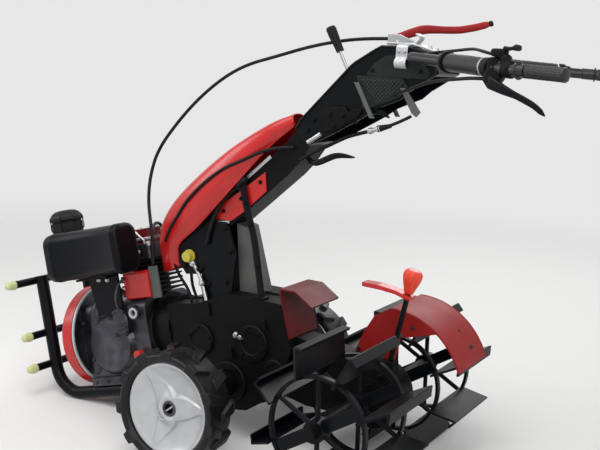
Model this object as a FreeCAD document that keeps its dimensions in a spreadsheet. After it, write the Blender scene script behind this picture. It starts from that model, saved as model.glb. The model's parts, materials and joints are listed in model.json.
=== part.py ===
# Walking tractor: front diesel engine, two rubber drive wheels, driven rear axle with cage wheels
# Millimetres. X forward, Y to the machine's left, Z up, origin on the floor at the middle of its outline.
import FreeCAD
import Part
import Sketcher
import math
import os
import re

from FreeCAD import Placement, Rotation, Vector

document = FreeCAD.newDocument("HandTractor")

# Driving dimensions
sizes = {
    # Stance: drive axle ahead of the middle, nose down until the bumper bends rest on the floor
    "axleAhead": 114, "noseDown": 14.7,
    # Drive wheels
    "tyreRadius": 150, "tyreWidth": 90, "lugDepth": 13, "lugWidth": 24, "lugLean": 26, "lugCount": 11,
    "shoulder": 8,
    "beadRadius": 118, "wheelTrack": 600, "discWall": 4, "discDish": 22, "discInset": 15,
    "bandInset": 12,
    "hubRadius": 21, "hubOut": -4, "hubReach": 62, "hubBore": 13, "hubDeep": 26, "pinRadius": 4,
    "halfShaftRadius": 15, "shaftGap": 1,
    # Rear cage wheels
    "rotorBehind": 405, "cageTip": 195, "cageRing": 128, "cageTrack": 400, "ringSpacing": 200,
    "ringWide": 14, "ringThick": 8, "paddleCount": 8, "paddleLong": 262, "paddleThick": 6,
    "paddlePoint": 34, "paddleLip": 24, "rotorShaftRadius": 18, "cageHubRadius": 27, "cageHubHalf": 20,
    "spokeRadius": 6, "spokeLean": 31, "flatSpokeWide": 32, "flatSpokeThick": 7,
    "rotorCaseRadius": 78, "rotorCaseHalf": 46, "caseCoverRadius": 52, "caseCoverThick": 7,
    "shaftStub": 22, "stubRadius": 15,
    # Leaning post over the rotor case, with its knob
    "postBehind": 30, "postLean": 12, "bossTop": 90, "depthPostRadius": 7, "depthPostLong": 186,
    "depthKnobRadius": 24, "depthKnobLong": 62,
    # Engine, in the chassis frame: along, across and up from the drive axle
    "crankUp": 152, "blockFront": 468, "blockRear": 228, "blockHalf": 96, "blockTop": 250,
    "sumpHalf": 104, "sumpHigh": 22, "timingRadius": 84, "timingThick": 14, "bossAt": 262, "bossUp": 214,
    "coverRadius": 140, "coverThick": 24, "starterRadius": 144, "starterRim": 12,
    "starterDeep": 60, "starterFace": 96, "cylinderAt": 268, "cylinderRadius": 48, "finHalf": 60,
    "finFoot": 6, "finThick": 5, "finCount": 8, "headBase": 354, "headHigh": 42, "rockerHigh": 42,
    "mufflerRear": 208, "mufflerFront": 478, "mufflerInner": 96, "mufflerOuter": 186,
    "mufflerDrop": 67, "mufflerHigh": 137, "mufflerRound": 30,
    "cleanerAt": 529, "cleanerSide": 26, "cleanerRadius": 46, "cleanerGap": 2,
    "cleanerTop": 530, "cleanerSides": 8, "intakeRadius": 15,
    # Bumper frame
    "postAt": 600, "postHalf": 88, "postTop": 352, "postRadius": 17, "postBend": 80,
    "railRear": 250, "barRadius": 11, "capRadius": 14, "capLong": 26,
    # Gearbox
    "gearboxHalf": 78, "gearboxFront": 165, "bellRadius": 97, "axleTubeRadius": 30,
    "axleTubeEnd": 222, "shaftSeat": 60,
    # Column, head and handlebars
    "bracketThick": 8, "columnHalf": 46, "headHalf": 64, "headWall": 4, "armRadius": 13,
    "gripRadius": 16, "perchGap": 0.6, "hoodWall": 3,
    # Fender
    "fenderInner": 61, "fenderOuter": 250, "fenderRadius": 208, "fenderWall": 3, "fenderFoot": 9,
    "fenderRear": 20, "fenderFront": 92, "guardWall": 4,
}
sheet = document.addObject("Spreadsheet::Sheet", "Sizes")
for row, (alias, value) in enumerate(sizes.items(), start=1):
    sheet.set(f"A{row}", alias)
    sheet.set(f"B{row}", str(value))
    sheet.setAlias(f"B{row}", alias)
document.recompute()


# A size as the sheet holds it
def size(alias):
    return float(sheet.get(alias))


# Worked out from the driving dimensions: the rails' height follows from bends that touch the floor,
# and the rotor's from resting on two paddles of each cage wheel
tilt = math.radians(size("noseDown"))
bendSum = size("postBend") + size("postRadius")
railUp = ((bendSum - size("tyreRadius") + (size("postAt") - size("postBend")) * math.sin(tilt))
          / math.cos(tilt) - size("postBend"))
finRun = size("headBase") - size("blockTop") - size("finFoot") - size("finThick") - 2
headTop = size("headBase") + size("headHigh")
worked = {
    "railUp": railUp,
    "railTop": railUp + size("postRadius"),
    "rotorUp": size("cageTip") * math.cos(math.pi / size("paddleCount")),
    "finPitch": finRun / (size("finCount") - 1),
    "headTop": headTop,
    "rockerTop": headTop + size("rockerHigh"),
    "cleanerBase": headTop + size("cleanerGap"),
    "mufflerBase": headTop - size("mufflerDrop"),
    "mufflerTop": headTop - size("mufflerDrop") + size("mufflerHigh"),
}
for row, (alias, value) in enumerate(worked.items(), start=len(sizes) + 1):
    sheet.set(f"A{row}", alias)
    sheet.set(f"B{row}", str(value))
    sheet.setAlias(f"B{row}", alias)
document.recompute()
aliases = set(sizes) | set(worked)


# A formula in the sheet's own words, as the expressions want it
def formula(text):
    return re.sub(r"[A-Za-z]\w*",
                  lambda word: "Sizes." + word[0] if word[0] in aliases else word[0], str(text))


def bind(item, formulas):
    for path, text in formulas.items():
        item.setExpression(path, formula(text))


# Frames: the machine's on the floor under the axle, the chassis' on the axle and nose down,
# the rotor's on its own shaft
machineFrame = Placement(Vector(size("axleAhead"), 0, 0), Rotation())
axleFrame = Placement(Vector(size("axleAhead"), 0, size("tyreRadius")), Rotation())
chassisFrame = Placement(axleFrame.Base, Rotation(Vector(0, 1, 0), size("noseDown")))
rotorFrame = Placement(Vector(size("axleAhead") - size("rotorBehind"), 0, size("rotorUp")),
                       Rotation())

alongX = Rotation(Vector(0, 1, 0), 90)
alongY = Rotation(Vector(1, 0, 0), -90)
turns = {"x": alongX, "y": alongY, "z": Rotation()}
pieces = []


# A finished sub-part: its label names its node and its file
def finish(item, label, frame):
    document.recompute()
    item.Label = label
    for path, _ in item.ExpressionEngine:
        if "Placement" in path:
            item.setExpression(path, None)
    item.Placement = frame.multiply(item.Placement)
    pieces.append(item)
    return item


def place(item, at, turn):
    item.Placement = Placement(Vector(), turn)
    bind(item, {"Placement.Base.x": at[0], "Placement.Base.y": at[1], "Placement.Base.z": at[2]})
    return item


def rod(name, radius, length, at, along="z"):
    item = document.addObject("Part::Cylinder", name)
    bind(item, {"Radius": radius, "Height": length})
    return place(item, at, turns[along])


def cone(name, radius, endRadius, length, at, along="z"):
    item = document.addObject("Part::Cone", name)
    bind(item, {"Radius1": radius, "Radius2": endRadius, "Height": length})
    return place(item, at, turns[along])


def box(name, long, wide, high, at):
    item = document.addObject("Part::Box", name)
    bind(item, {"Length": long, "Width": wide, "Height": high})
    return place(item, at, turns["z"])


def join(name, items):
    item = document.addObject("Part::MultiFuse", name)
    item.Shapes = items
    return item


def cut(name, base, tool):
    item = document.addObject("Part::Cut", name)
    item.Base = base
    item.Tool = tool
    return item


# Rounded edges of a solid: the ones that a test picks
def round_edges(name, base, radius, test):
    document.recompute()
    item = document.addObject("Part::Fillet", name)
    item.Base = base
    item.Edges = [(number, radius, radius)
                  for number, edge in enumerate(base.Shape.Edges, start=1) if test(edge)]
    return item


# True for straight edges along one direction
def runs_along(direction):
    def test(edge):
        straight = edge.Curve.TypeId in ("Part::GeomLine", "Part::GeomLineSegment")
        return straight and abs(edge.tangentAt(edge.FirstParameter).dot(direction)) > 0.99
    return test


# A body's own plane, found by its role
def plane_of(body, role):
    return next(part for part in body.Origin.OriginFeatures if part.Role == role)


# A closed outline of straight sides, each corner held by two bound dimensions
def outline(body, role, name, corners, offset="0"):
    sketch = body.newObject("Sketcher::SketchObject", name)
    sketch.AttachmentSupport = [(plane_of(body, role), "")]
    sketch.MapMode = "FlatFace"
    bind(sketch, {"AttachmentOffset.Base.z": offset})
    count = len(corners)
    ring = [Vector(100 * math.cos(turn), 100 * math.sin(turn), 0)
            for turn in (2 * math.pi * step / count for step in range(count))]
    for step in range(count):
        sketch.addGeometry(Part.LineSegment(ring[step], ring[(step + 1) % count]), False)
    for step in range(count):
        sketch.addConstraint(Sketcher.Constraint("Coincident", step, 2, (step + 1) % count, 1))
    for step, corner in enumerate(corners):
        for axis, reach, text in (("DistanceX", ring[step].x, corner[0]),
                                  ("DistanceY", ring[step].y, corner[1])):
            number = sketch.addConstraint(Sketcher.Constraint(axis, -1, 1, step, 1, reach))
            bind(sketch, {f"Constraints[{number}]": text})
    return sketch


# A piece of constant section seen from the side: outline in X and Z, from one Y to a greater one
def side_plate(name, corners, start, thick):
    body = document.addObject("PartDesign::Body", name)
    sketch = outline(body, "XZ_Plane", name + "Outline", corners, f"-({start})")
    pad = body.newObject("PartDesign::Pad", name + "Pad")
    pad.Profile = sketch
    pad.Reversed = True
    bind(pad, {"Length": thick})
    body.Tip = pad
    return body


# The same plate on both sides of the middle plane
def plate_pair(name, corners, inner, thick):
    left = side_plate(name + "Left", corners, inner, thick)
    right = side_plate(name + "Right", corners, f"-({inner}) - ({thick})", thick)
    return join(name, [left, right])


# A turned piece about X, Y or Z through its frame's origin
spins = {"x": ("XZ_Plane", "H_Axis"), "y": ("XY_Plane", "V_Axis"), "z": ("XZ_Plane", "V_Axis")}


def turned(name, along, corners):
    role, axis = spins[along]
    body = document.addObject("PartDesign::Body", name)
    sketch = outline(body, role, name + "Outline", corners)
    turn = body.newObject("PartDesign::Revolution", name + "Turn")
    turn.Profile = sketch
    turn.ReferenceAxis = (sketch, [axis])
    turn.Angle = 360
    body.Tip = turn
    return body


# The middle line of a bent tube or cable: straight runs joined by tangent arcs
def bent_path(points, bend=None):
    corners = [Vector(*point) for point in points]
    edges = []
    start = corners[0]
    for before, here, after in zip(corners, corners[1:], corners[2:]):
        back = before - here
        ahead = after - here
        half = back.getAngle(ahead) / 2
        reach = bend / math.tan(half) if bend else 0.45 * min(back.Length, ahead.Length)
        radius = reach * math.tan(half)
        back.normalize()
        ahead.normalize()
        enter = here + back * reach
        leave = here + ahead * reach
        inward = (back + ahead).normalize()
        middle = here + inward * (radius / math.sin(half) - radius)
        edges += [Part.makeLine(start, enter), Part.Arc(enter, middle, leave).toShape()]
        start = leave
    edges.append(Part.makeLine(start, corners[-1]))
    return Part.Wire(edges)


def pipe(path, radius):
    first = path.Edges[0]
    ring = Part.makeCircle(radius, first.firstVertex().Point,
                           first.tangentAt(first.FirstParameter))
    return path.makePipeShell([Part.Wire([ring])], True, False)


# A sub-part whose shape is made here from the sheet's sizes
def shaped(name, shape):
    item = document.addObject("Part::Feature", name)
    item.Shape = shape
    return item


# A tube or cable through chosen points
def tube(name, points, radius, bend=None):
    return shaped(name, pipe(bent_path(points, bend), radius))


def mirrored(points):
    return [(x, -y, z) for x, y, z in points]


# Tread lugs of one tyre: two staggered rows, each lug leaning back from the middle
def tread(middle):
    carcass = size("tyreRadius") - size("lugDepth")
    wide = size("lugWidth")
    half = size("tyreWidth") / 2 - size("shoulder")
    count = int(size("lugCount"))
    lean = math.tan(math.radians(size("lugLean")))
    top = math.sqrt(size("tyreRadius") ** 2 - (wide / 2 + half * lean) ** 2)
    lugs = []
    for row in (1, -1):
        for step in range(count):
            start = 1 if row > 0 else -half
            end = start + half - 1
            corners = [Vector(x + row * y * lean, y, carcass - 5)
                       for x, y in ((-wide / 2, start), (wide / 2, start), (wide / 2, end), (-wide / 2, end))]
            lug = Part.Face(Part.makePolygon(corners + corners[:1])).extrude(Vector(0, 0, top - carcass + 5))
            turn = 360 * (step + (0.5 if row < 0 else 0)) / count
            lug.rotate(Vector(), Vector(0, 1, 0), turn)
            lugs.append(lug)
    for lug in lugs:
        lug.translate(Vector(0, middle, 0))
    return lugs


# Drive wheels, each with its half shaft
def drive_wheel(side, sign):
    middle = f"{sign} * wheelTrack / 2"
    carcass = "tyreRadius - lugDepth"
    band = turned(f"TyreBand{side}", "y", [
        ("beadRadius", f"{middle} - tyreWidth / 2 + bandInset"),
        ("beadRadius", f"{middle} + tyreWidth / 2 - bandInset"),
        (f"{carcass} - shoulder", f"{middle} + tyreWidth / 2"),
        (carcass, f"{middle} + tyreWidth / 2 - shoulder"),
        (carcass, f"{middle} - tyreWidth / 2 + shoulder"),
        (f"{carcass} - shoulder", f"{middle} - tyreWidth / 2")])
    document.recompute()
    lugs = tread(sign * size("wheelTrack") / 2)
    finish(shaped(f"Tyre{side}", band.Shape.fuse(lugs)), f"tyre_{side.lower()}", axleFrame)

    face = f"{sign} * (wheelTrack / 2 + tyreWidth / 2 - discInset)"
    back = f"{sign} * (wheelTrack / 2 + tyreWidth / 2 - discInset - discDish)"
    wall = f"{sign} * discWall"
    disc = turned(f"Disc{side}", "y", [
        ("hubRadius - 4", f"{back}"),
        ("hubRadius + 22", f"{back}"),
        ("beadRadius - 12", face),
        ("beadRadius - 1", face),
        ("beadRadius - 1", f"{face} - {wall}"),
        ("beadRadius - 10", f"{face} - {wall}"),
        ("hubRadius + 20", f"{back} - {wall}"),
        ("hubRadius - 4", f"{back} - {wall}")])
    hub = turned(f"Hub{side}", "y", [
        ("0", f"{face} + {sign} * (hubOut - hubDeep)"),
        ("hubBore", f"{face} + {sign} * (hubOut - hubDeep)"),
        ("hubBore", f"{face} + {sign} * hubOut"),
        ("hubRadius - 2", f"{face} + {sign} * hubOut"),
        ("hubRadius", f"{face} + {sign} * (hubOut - 2)"),
        ("hubRadius", f"{face} - {sign} * hubReach"),
        ("halfShaftRadius", f"{face} - {sign} * hubReach"),
        ("halfShaftRadius", f"{sign} * (axleTubeEnd - shaftSeat)"),
        ("0", f"{sign} * (axleTubeEnd - shaftSeat)")])
    rim = turned(f"RimBand{side}", "y", [
        ("beadRadius - 4", f"{middle} - tyreWidth / 2 + bandInset"),
        ("beadRadius", f"{middle} - tyreWidth / 2 + bandInset"),
        ("beadRadius", f"{middle} + tyreWidth / 2 - bandInset"),
        ("beadRadius - 4", f"{middle} + tyreWidth / 2 - bandInset")])
    pin = rod(f"HubPin{side}", "pinRadius", "2 * hubRadius - 2",
              ("0", f"{face} + {sign} * (hubOut - hubDeep / 2)", "1 - hubRadius"))
    finish(join(f"Wheel{side}", [disc, hub, rim, pin]), f"wheel_disc_{side.lower()}", axleFrame)


drive_wheel("Left", 1)
drive_wheel("Right", -1)


# Open cage wheel: two rings on spokes about short hubs, and cross paddles with pointed ends, each
# with its outer edge folded to lie flat on the floor when the wheel rests on it
def cage_wheel(side, sign):
    middle = sign * size("cageTrack") / 2
    ring = size("cageRing")
    ringIn = ring - size("ringThick")
    across = Vector(0, 1, 0)
    hubHalf = size("cageHubHalf")
    parts = []
    for ringSide in (-1, 1):
        centre = middle + ringSide * size("ringSpacing") / 2
        parts.append(Part.makeCylinder(size("cageHubRadius"), 2 * hubHalf, Vector(0, centre - hubHalf, 0), across))
        start = Vector(0, centre - size("ringWide") / 2, 0)
        hoop = Part.makeCylinder(ring, size("ringWide"), start, across)
        parts.append(hoop.cut(Part.makeCylinder(ringIn, size("ringWide"), start, across)))
        reach = (ring + ringIn) / 2
        thick = size("flatSpokeThick")
        wide = size("flatSpokeWide")
        flat = Part.makeBox(2 * reach, thick, wide, Vector(-reach, centre - thick / 2, -wide / 2))
        rods = [Part.makeCylinder(size("spokeRadius"), 2 * reach, Vector(-reach, centre, 0), Vector(1, 0, 0))
                for _ in range(2)]
        for step, spoke in enumerate([flat] + rods):
            spoke.rotate(Vector(), across, 60 * step + size("spokeLean"))
            parts.append(spoke)
    half = size("paddleLong") / 2
    tip = size("cageTip")
    low = ring - 6
    point = size("paddlePoint")
    thick = size("paddleThick")
    lip = size("paddleLip")
    count = int(size("paddleCount"))
    fold = math.pi / count
    inward = (thick * math.sin(fold) + thick / 2) / math.cos(fold)
    section = [(-thick / 2, low), (thick / 2, low), (thick / 2, tip - thick / 2 * math.tan(fold)), (0, tip),
               (-lip * math.cos(fold), tip - lip * math.sin(fold)),
               (-lip * math.cos(fold) + thick * math.sin(fold), tip - lip * math.sin(fold) - thick * math.cos(fold)),
               (-thick / 2, tip - thick * math.cos(fold) - inward * math.sin(fold))]
    corners = [Vector(x, middle - half, z) for x, z in section]
    paddle = Part.Face(Part.makePolygon(corners + corners[:1])).extrude(Vector(0, 2 * half, 0))
    slant = [Vector(-2 * lip, middle - half, tip), Vector(-2 * lip, middle + half - point, tip),
             Vector(-2 * lip, middle + half, low), Vector(-2 * lip, middle - half + point, low)]
    paddle = paddle.common(Part.Face(Part.makePolygon(slant + slant[:1])).extrude(Vector(4 * lip, 0, 0)))
    for step in range(count):
        parts.append(paddle.rotated(Vector(), across, 360 * (step + 0.5) / count))
    reach = size("ringSpacing") / 2 + hubHalf
    bore = Part.makeCylinder(size("rotorShaftRadius"), 2 * reach, Vector(0, middle - reach, 0), across)
    shape = parts[0].multiFuse(parts[1:]).cut(bore)
    finish(shaped(f"Cage{side}", shape), f"cage_wheel_{side.lower()}", rotorFrame)


cage_wheel("Left", 1)
cage_wheel("Right", -1)
hubEnd = "cageTrack / 2 + ringSpacing / 2 + cageHubHalf"
shaftEnd = f"{hubEnd} + shaftStub"
finish(turned("RotorShaft", "y", [
    ("0", f"-({shaftEnd})"), ("stubRadius", f"-({shaftEnd})"), ("stubRadius", f"-({hubEnd})"),
    ("rotorShaftRadius", f"-({hubEnd})"), ("rotorShaftRadius", hubEnd), ("stubRadius", hubEnd),
    ("stubRadius", shaftEnd), ("0", shaftEnd)]), "rotor_shaft", rotorFrame)

# Crankcase: rounded block on a wider sump, round front cover, round timing covers on both sides
# and a bored boss above the near one
crankcase = box("Crankcase", "blockFront - blockRear", "2 * blockHalf", "blockTop - railTop",
                ("blockRear", "-blockHalf", "railTop"))
crankcase = round_edges("CrankcaseRound", crankcase, 30, runs_along(Vector(1, 0, 0)))
sump = box("Sump", "blockFront - blockRear - 24", "2 * sumpHalf", "sumpHigh", ("blockRear + 12", "-sumpHalf", "railTop"))
frontCover = rod("FrontCover", "coverRadius", "coverThick", ("blockFront", "0", "crankUp"), "x")
timingAt = "(blockFront + blockRear) / 2 + 14"
timing = [cone("TimingLeft", "timingRadius", "timingRadius - 12", "timingThick", (timingAt, "blockHalf", "crankUp - 22"), "y"),
          cone("TimingRight", "timingRadius - 12", "timingRadius", "timingThick",
               (timingAt, "-blockHalf - timingThick", "crankUp - 22"), "y")]
boss = cut("PumpBoss", rod("PumpBossRod", "19", "20", ("bossAt", "blockHalf - 8", "bossUp"), "y"),
           rod("PumpBossBore", "11", "8", ("bossAt", "blockHalf + 4", "bossUp"), "y"))
finish(join("EngineBlock", [crankcase, sump, frontCover, boss] + timing), "engine_block", chassisFrame)

# Recoil starter cover: wide rim, sloping shoulder and a raised round face
starterShoulder = "(starterDeep - starterRim) / 2"
starterStart = "blockFront + coverThick"
starterRim = rod("StarterRim", "starterRadius", "starterRim", (starterStart, "0", "crankUp"), "x")
starterDome = cone("StarterDome", "starterRadius", "starterFace + 8", starterShoulder,
                   (f"{starterStart} + starterRim", "0", "crankUp"), "x")
starterDrum = rod("StarterDrum", "starterFace", starterShoulder,
                  (f"{starterStart} + starterRim + {starterShoulder}", "0", "crankUp"), "x")
finish(join("RecoilCover", [starterRim, starterDome, starterDrum]), "recoil_cover", chassisFrame)

# Cylinder with cooling fins, head and rocker cover
fins = [rod("CylinderCore", "cylinderRadius", "headBase - blockTop", ("cylinderAt", "0", "blockTop"))]
for step in range(int(size("finCount"))):
    fins.append(box(f"Fin{step}", "2 * finHalf", "2 * finHalf", "finThick",
                    ("cylinderAt - finHalf", "-finHalf", f"blockTop + finFoot + {step} * finPitch")))
finish(join("CylinderFins", fins), "cylinder_fins", chassisFrame)
head = box("Head", "2 * finHalf - 16", "2 * finHalf - 16", "headTop - headBase",
           ("cylinderAt - finHalf + 8", "-finHalf + 8", "headBase"))
finish(round_edges("CylinderHead", head, 10, runs_along(Vector(0, 0, 1))), "cylinder_head", chassisFrame)
rocker = box("Rocker", "2 * finHalf - 36", "2 * finHalf - 56", "rockerTop - headTop",
             ("cylinderAt - finHalf + 18", "-finHalf + 28", "headTop"))
rocker = round_edges("RockerRound", rocker, 16, runs_along(Vector(0, 0, 1)))
finish(rocker, "rocker_cover", chassisFrame)

# Red blower shroud at the cylinder's near side
shroud = box("Shroud", "88", "34", "mufflerBase - blockTop - 4",
             ("200", "finHalf", "blockTop"))
shroud = round_edges("ShroudRound", shroud, 7, runs_along(Vector(1, 0, 0)))
finish(shroud, "blower_shroud", chassisFrame)

# Muffler box on its black bracket, and the elbow from the head
muffler = box("MufflerBox", "mufflerFront - mufflerRear", "mufflerOuter - mufflerInner",
              "mufflerTop - mufflerBase", ("mufflerRear", "mufflerInner", "mufflerBase"))
muffler = round_edges("MufflerRound", muffler, size("mufflerRound"), runs_along(Vector(1, 0, 0)))
elbow = [rod("ElbowPipe", "17", "mufflerInner - finHalf + 8", ("cylinderAt", "finHalf - 8", "headTop - 20"), "y"),
         box("ElbowFlange", "58", "7", "38", ("cylinderAt - 29", "finHalf - 8", "headTop - 39"))]
finish(join("Muffler", [muffler] + elbow), "muffler", chassisFrame)
bracketPlate = side_plate("MufflerPlate", [("300", "blockTop - 34"), ("392", "blockTop - 34"),
                                           ("408", "mufflerBase - 6"), ("300", "mufflerBase - 6")],
                          "blockHalf", "6")
bracketShelf = box("MufflerShelf", "108", "52", "6", ("300", "blockHalf", "mufflerBase - 6"))
finish(join("MufflerBracket", [bracketPlate, bracketShelf]), "muffler_bracket", chassisFrame)

# Air cleaner with eight flats, and its intake elbow from the head


# A regular many-sided outline about the cleaner's own middle line
def cleaner_ring(radius, up):
    sides = int(size("cleanerSides"))
    corners = [Vector(size("cleanerAt") + radius * math.cos(2 * math.pi * (step + 0.5) / sides),
                      size("cleanerSide") + radius * math.sin(2 * math.pi * (step + 0.5) / sides), up)
               for step in range(sides)]
    return Part.makePolygon(corners + corners[:1])


# Rings of the cleaner, each a change of radius and a height
cleanerBase = size("cleanerBase")
cleanerTop = size("cleanerTop")
cleanerRings = [(-8, cleanerBase), (0, cleanerBase + 8), (0, cleanerTop - 36), (4, cleanerTop - 33),
                (4, cleanerTop - 22), (-13, cleanerTop)]
cleaner = shaped("Cleaner", Part.makeLoft([cleaner_ring(size("cleanerRadius") + grow, up)
                                           for grow, up in cleanerRings], True, True))
intakeUp = size("cleanerBase") - 22
elbowFrom = Vector(size("cylinderAt") + size("finHalf") - 8, size("cleanerSide"), intakeUp)
elbowTo = Vector(size("cleanerAt"), size("cleanerSide"), intakeUp)
intake = [shaped("IntakeRun", Part.makeCylinder(size("intakeRadius"), elbowTo.x - elbowFrom.x, elbowFrom,
                                                Vector(1, 0, 0))),
          shaped("IntakeBend", Part.makeSphere(size("intakeRadius"), elbowTo)),
          shaped("IntakeRise", Part.makeCylinder(size("intakeRadius"), cleanerBase + 4 - intakeUp, elbowTo))]
finish(join("CleanerAndPipe", [cleaner] + intake), "air_cleaner", chassisFrame)

# Injector and its pipe on the head
pipeSide = size("finHalf") - 14
pipeFoot = size("headTop")
finish(tube("InjectorPipe", [(280, pipeSide, pipeFoot), (280, pipeSide, pipeFoot + 12),
                             (273, pipeSide + 2, pipeFoot + 50), (234, pipeSide, pipeFoot + 9),
                             (234, pipeSide, pipeFoot)], 3.5), "injector_pipe", chassisFrame)

# Perforated bracket at the back of the cylinder, and the small red oil cap
plate = side_plate("ThrottlePlate", [("170", "246"), ("200", "246"), ("200", "334"), ("170", "334")],
                   "finHalf + 22", "5")
finish(plate, "throttle_plate", chassisFrame)
finish(join("OilCap", [rod("OilCapNeck", "8", "14", ("262", "blockHalf", "100"), "y"),
                       rod("OilCapHead", "12", "9", ("262", "blockHalf + 14", "100"), "y")]),
       "oil_cap", chassisFrame)

# Bumper frame: each side one bent tube, post and engine rail
postPath = [(size("railRear"), size("postHalf"), railUp), (size("postAt"), size("postHalf"), railUp),
            (size("postAt"), size("postHalf"), size("postTop"))]
posts = [tube("PostLeft", postPath, size("postRadius"), size("postBend")),
         tube("PostRight", mirrored(postPath), size("postRadius"), size("postBend"))]
finish(join("BumperFrame", posts), "bumper_frame", chassisFrame)

# Cross bars in front of the posts, each a height and a half length, with pale end caps
crossBars = [(340, 168), (184, 142), (92, 142)]
bars = []
caps = []
for number, (up, half) in enumerate(crossBars):
    ahead = "postAt + postRadius + barRadius"
    bars.append(rod(f"Bar{number}", "barRadius", f"{2 * half}", (ahead, f"-{half}", f"{up}"), "y"))
    for side, start in (("Left", f"{half}"), ("Right", f"-{half} - capLong")):
        caps.append(rod(f"Cap{number}{side}", "capRadius", "capLong", (ahead, start, f"{up}"), "y"))
finish(join("BumperBars", bars), "bumper_bars", chassisFrame)
finish(join("BumperCaps", caps), "bumper_caps", chassisFrame)

# Clutch bell and gearbox
finish(join("ClutchBell", [
    rod("BellRear", "bellRadius - 12", "blockRear - gearboxFront - 14", ("gearboxFront", "0", "crankUp"), "x"),
    rod("BellFlange", "bellRadius", "14", ("blockRear - 14", "0", "crankUp"), "x")]),
    "clutch_bell", chassisFrame)
gearboxTop = [("60", "217"), ("-40", "234")]
gearbox = side_plate("GearboxCase", [
    ("gearboxFront", "225"), *gearboxTop, ("-205", "190"), ("-209", "60"), ("-130", "-50"),
    ("-40", "-80"), ("62", "-70"), ("118", "10"), ("gearboxFront", "50")],
    "-gearboxHalf", "2 * gearboxHalf")
finish(round_edges("Gearbox", gearbox, 12, runs_along(Vector(0, 1, 0))), "gearbox_housing", chassisFrame)

# Axle tubes with their bores
tubes = []
for side, start in (("Left", "gearboxHalf"), ("Right", "-axleTubeEnd")):
    bore = "axleTubeEnd - shaftSeat - 4" if side == "Left" else "-axleTubeEnd"
    tubes.append(cut(f"AxleTube{side}",
                     rod(f"AxleSleeve{side}", "axleTubeRadius", "axleTubeEnd - gearboxHalf", ("0", start, "0"), "y"),
                     rod(f"AxleBore{side}", "halfShaftRadius + shaftGap", "shaftSeat + 4", ("0", bore, "0"), "y")))
finish(join("AxleTubes", tubes), "axle_tubes", chassisFrame)

# Drive arm from the gearbox to the round rotor case, both bored for the shaft
armBack = Vector(-size("rotorBehind"), 0, size("rotorUp") - size("tyreRadius"))
rotorAt = Rotation(Vector(0, 1, 0), size("noseDown")).inverted().multVec(armBack)
caseRod = rod("RotorCaseRod", "rotorCaseRadius", "2 * rotorCaseHalf", ("0", "-rotorCaseHalf", "0"), "y")
postBoss = box("PostBoss", "32", "32", "bossTop - rotorCaseRadius / 2",
               ("-postBehind - 16", "-16", "rotorCaseRadius / 2"))
shaftBore = rod("RotorBore", "rotorShaftRadius + shaftGap", "2 * (rotorCaseHalf + caseCoverThick)",
                ("0", "-rotorCaseHalf - caseCoverThick", "0"), "y")
caseCover = rod("CaseCovers", "caseCoverRadius", "2 * (rotorCaseHalf + caseCoverThick)",
                ("0", "-rotorCaseHalf - caseCoverThick", "0"), "y")
finish(cut("RotorCase", join("RotorCaseSolid", [caseRod, postBoss, caseCover]), shaftBore), "rotor_case",
       rotorFrame)
armSide = side_plate("DriveArmSide", [
    ("-205 - 4 * (190 - 96) / 130", "96"), ("-209", "60"), ("-130", "-50"), ("-200", "-86"), (f"{rotorAt.x}", f"{rotorAt.z} - 66"),
    (f"{rotorAt.x}", f"{rotorAt.z} + 66"), ("-330", "40")], "-38", "76")
armTool = rod("DriveArmTool", "rotorCaseRadius", "2 * rotorCaseHalf",
              (f"{rotorAt.x}", "-rotorCaseHalf", f"{rotorAt.z}"), "y")
finish(cut("DriveArm", armSide, armTool), "drive_arm", chassisFrame)

# Column bracket on the gearbox, with the yellow oil plug on its near plate
bracket = plate_pair("ColumnBracket", [
    *gearboxTop[::-1], ("48", "292"), ("100", "298"), ("118", "335"), ("100", "395"),
    ("27", "440"), ("-62", "420"), ("-75", "330")], "columnHalf", "bracketThick")
finish(bracket, "column_bracket", chassisFrame)
finish(join("OilPlug", [rod("PlugRim", "18", "5", ("77", "columnHalf + bracketThick", "345"), "y"),
                        rod("PlugHead", "14", "12", ("77", "columnHalf + bracketThick + 5", "345"), "y")]),
       "oil_plug", chassisFrame)

# Grey tapered cover over the shift rod, standing on the gearbox behind the bracket
finish(side_plate("ShiftCover", [("-78", "412"), ("-104", "398"), ("-112", "214.9"), ("-50", "231.4")],
                  "-30", "60"), "shift_cover", chassisFrame)

# Handle column and its head, on the machine's own frame
columnCorners = [("-160", "840"), ("-196", "798"), ("-160", "745"), ("-129", "712"), ("51", "552"),
                 ("145", "458"), ("192", "506"), ("55", "640"), ("-124", "800")]
column = side_plate("HandleColumn", columnCorners, "-columnHalf", "2 * columnHalf")
finish(column, "handle_column", machineFrame)
headCorners = [("-160", "840"), ("-179", "871"), ("-316", "1015"), ("-373", "1051"), ("-391", "1061"),
               ("-468", "1062"), ("-525", "1048"), ("-547", "1002"), ("-475", "956"), ("-450", "934"),
               ("-383", "905"), ("-349", "881"), ("-264", "832"), ("-196", "798")]
headSolid = side_plate("HeadSolid", headCorners, "-headHalf", "2 * headHalf")
headInside = side_plate("HeadInside", [
    ("-196", "852"), ("-319", "1009"), ("-376", "1046"), ("-392", "1057"), ("-467", "1058"),
    ("-522", "1045"), ("-543", "1003"), ("-475", "930"), ("-349", "850"), ("-230", "780")],
    "-headHalf + headWall", "2 * (headHalf - headWall)")
finish(cut("ColumnHead", headSolid, headInside), "column_head", machineFrame)
finish(plate_pair("HeadPanel", [("-330", "985"), ("-352", "905"), ("-383", "912"), ("-450", "940"),
                                ("-470", "966"), ("-455", "985")], "headHalf", "4"),
       "head_panels", machineFrame)
struts = plate_pair("HeadStrut", [("-327", "968"), ("-339", "968"), ("-386", "884"), ("-374", "884")],
                    "headHalf + 4", "6")
hanger = side_plate("CableHanger", [("-452", "962"), ("-466", "962"), ("-508", "908"), ("-498", "896"),
                                    ("-486", "904")], "headHalf + 4", "6")
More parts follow.
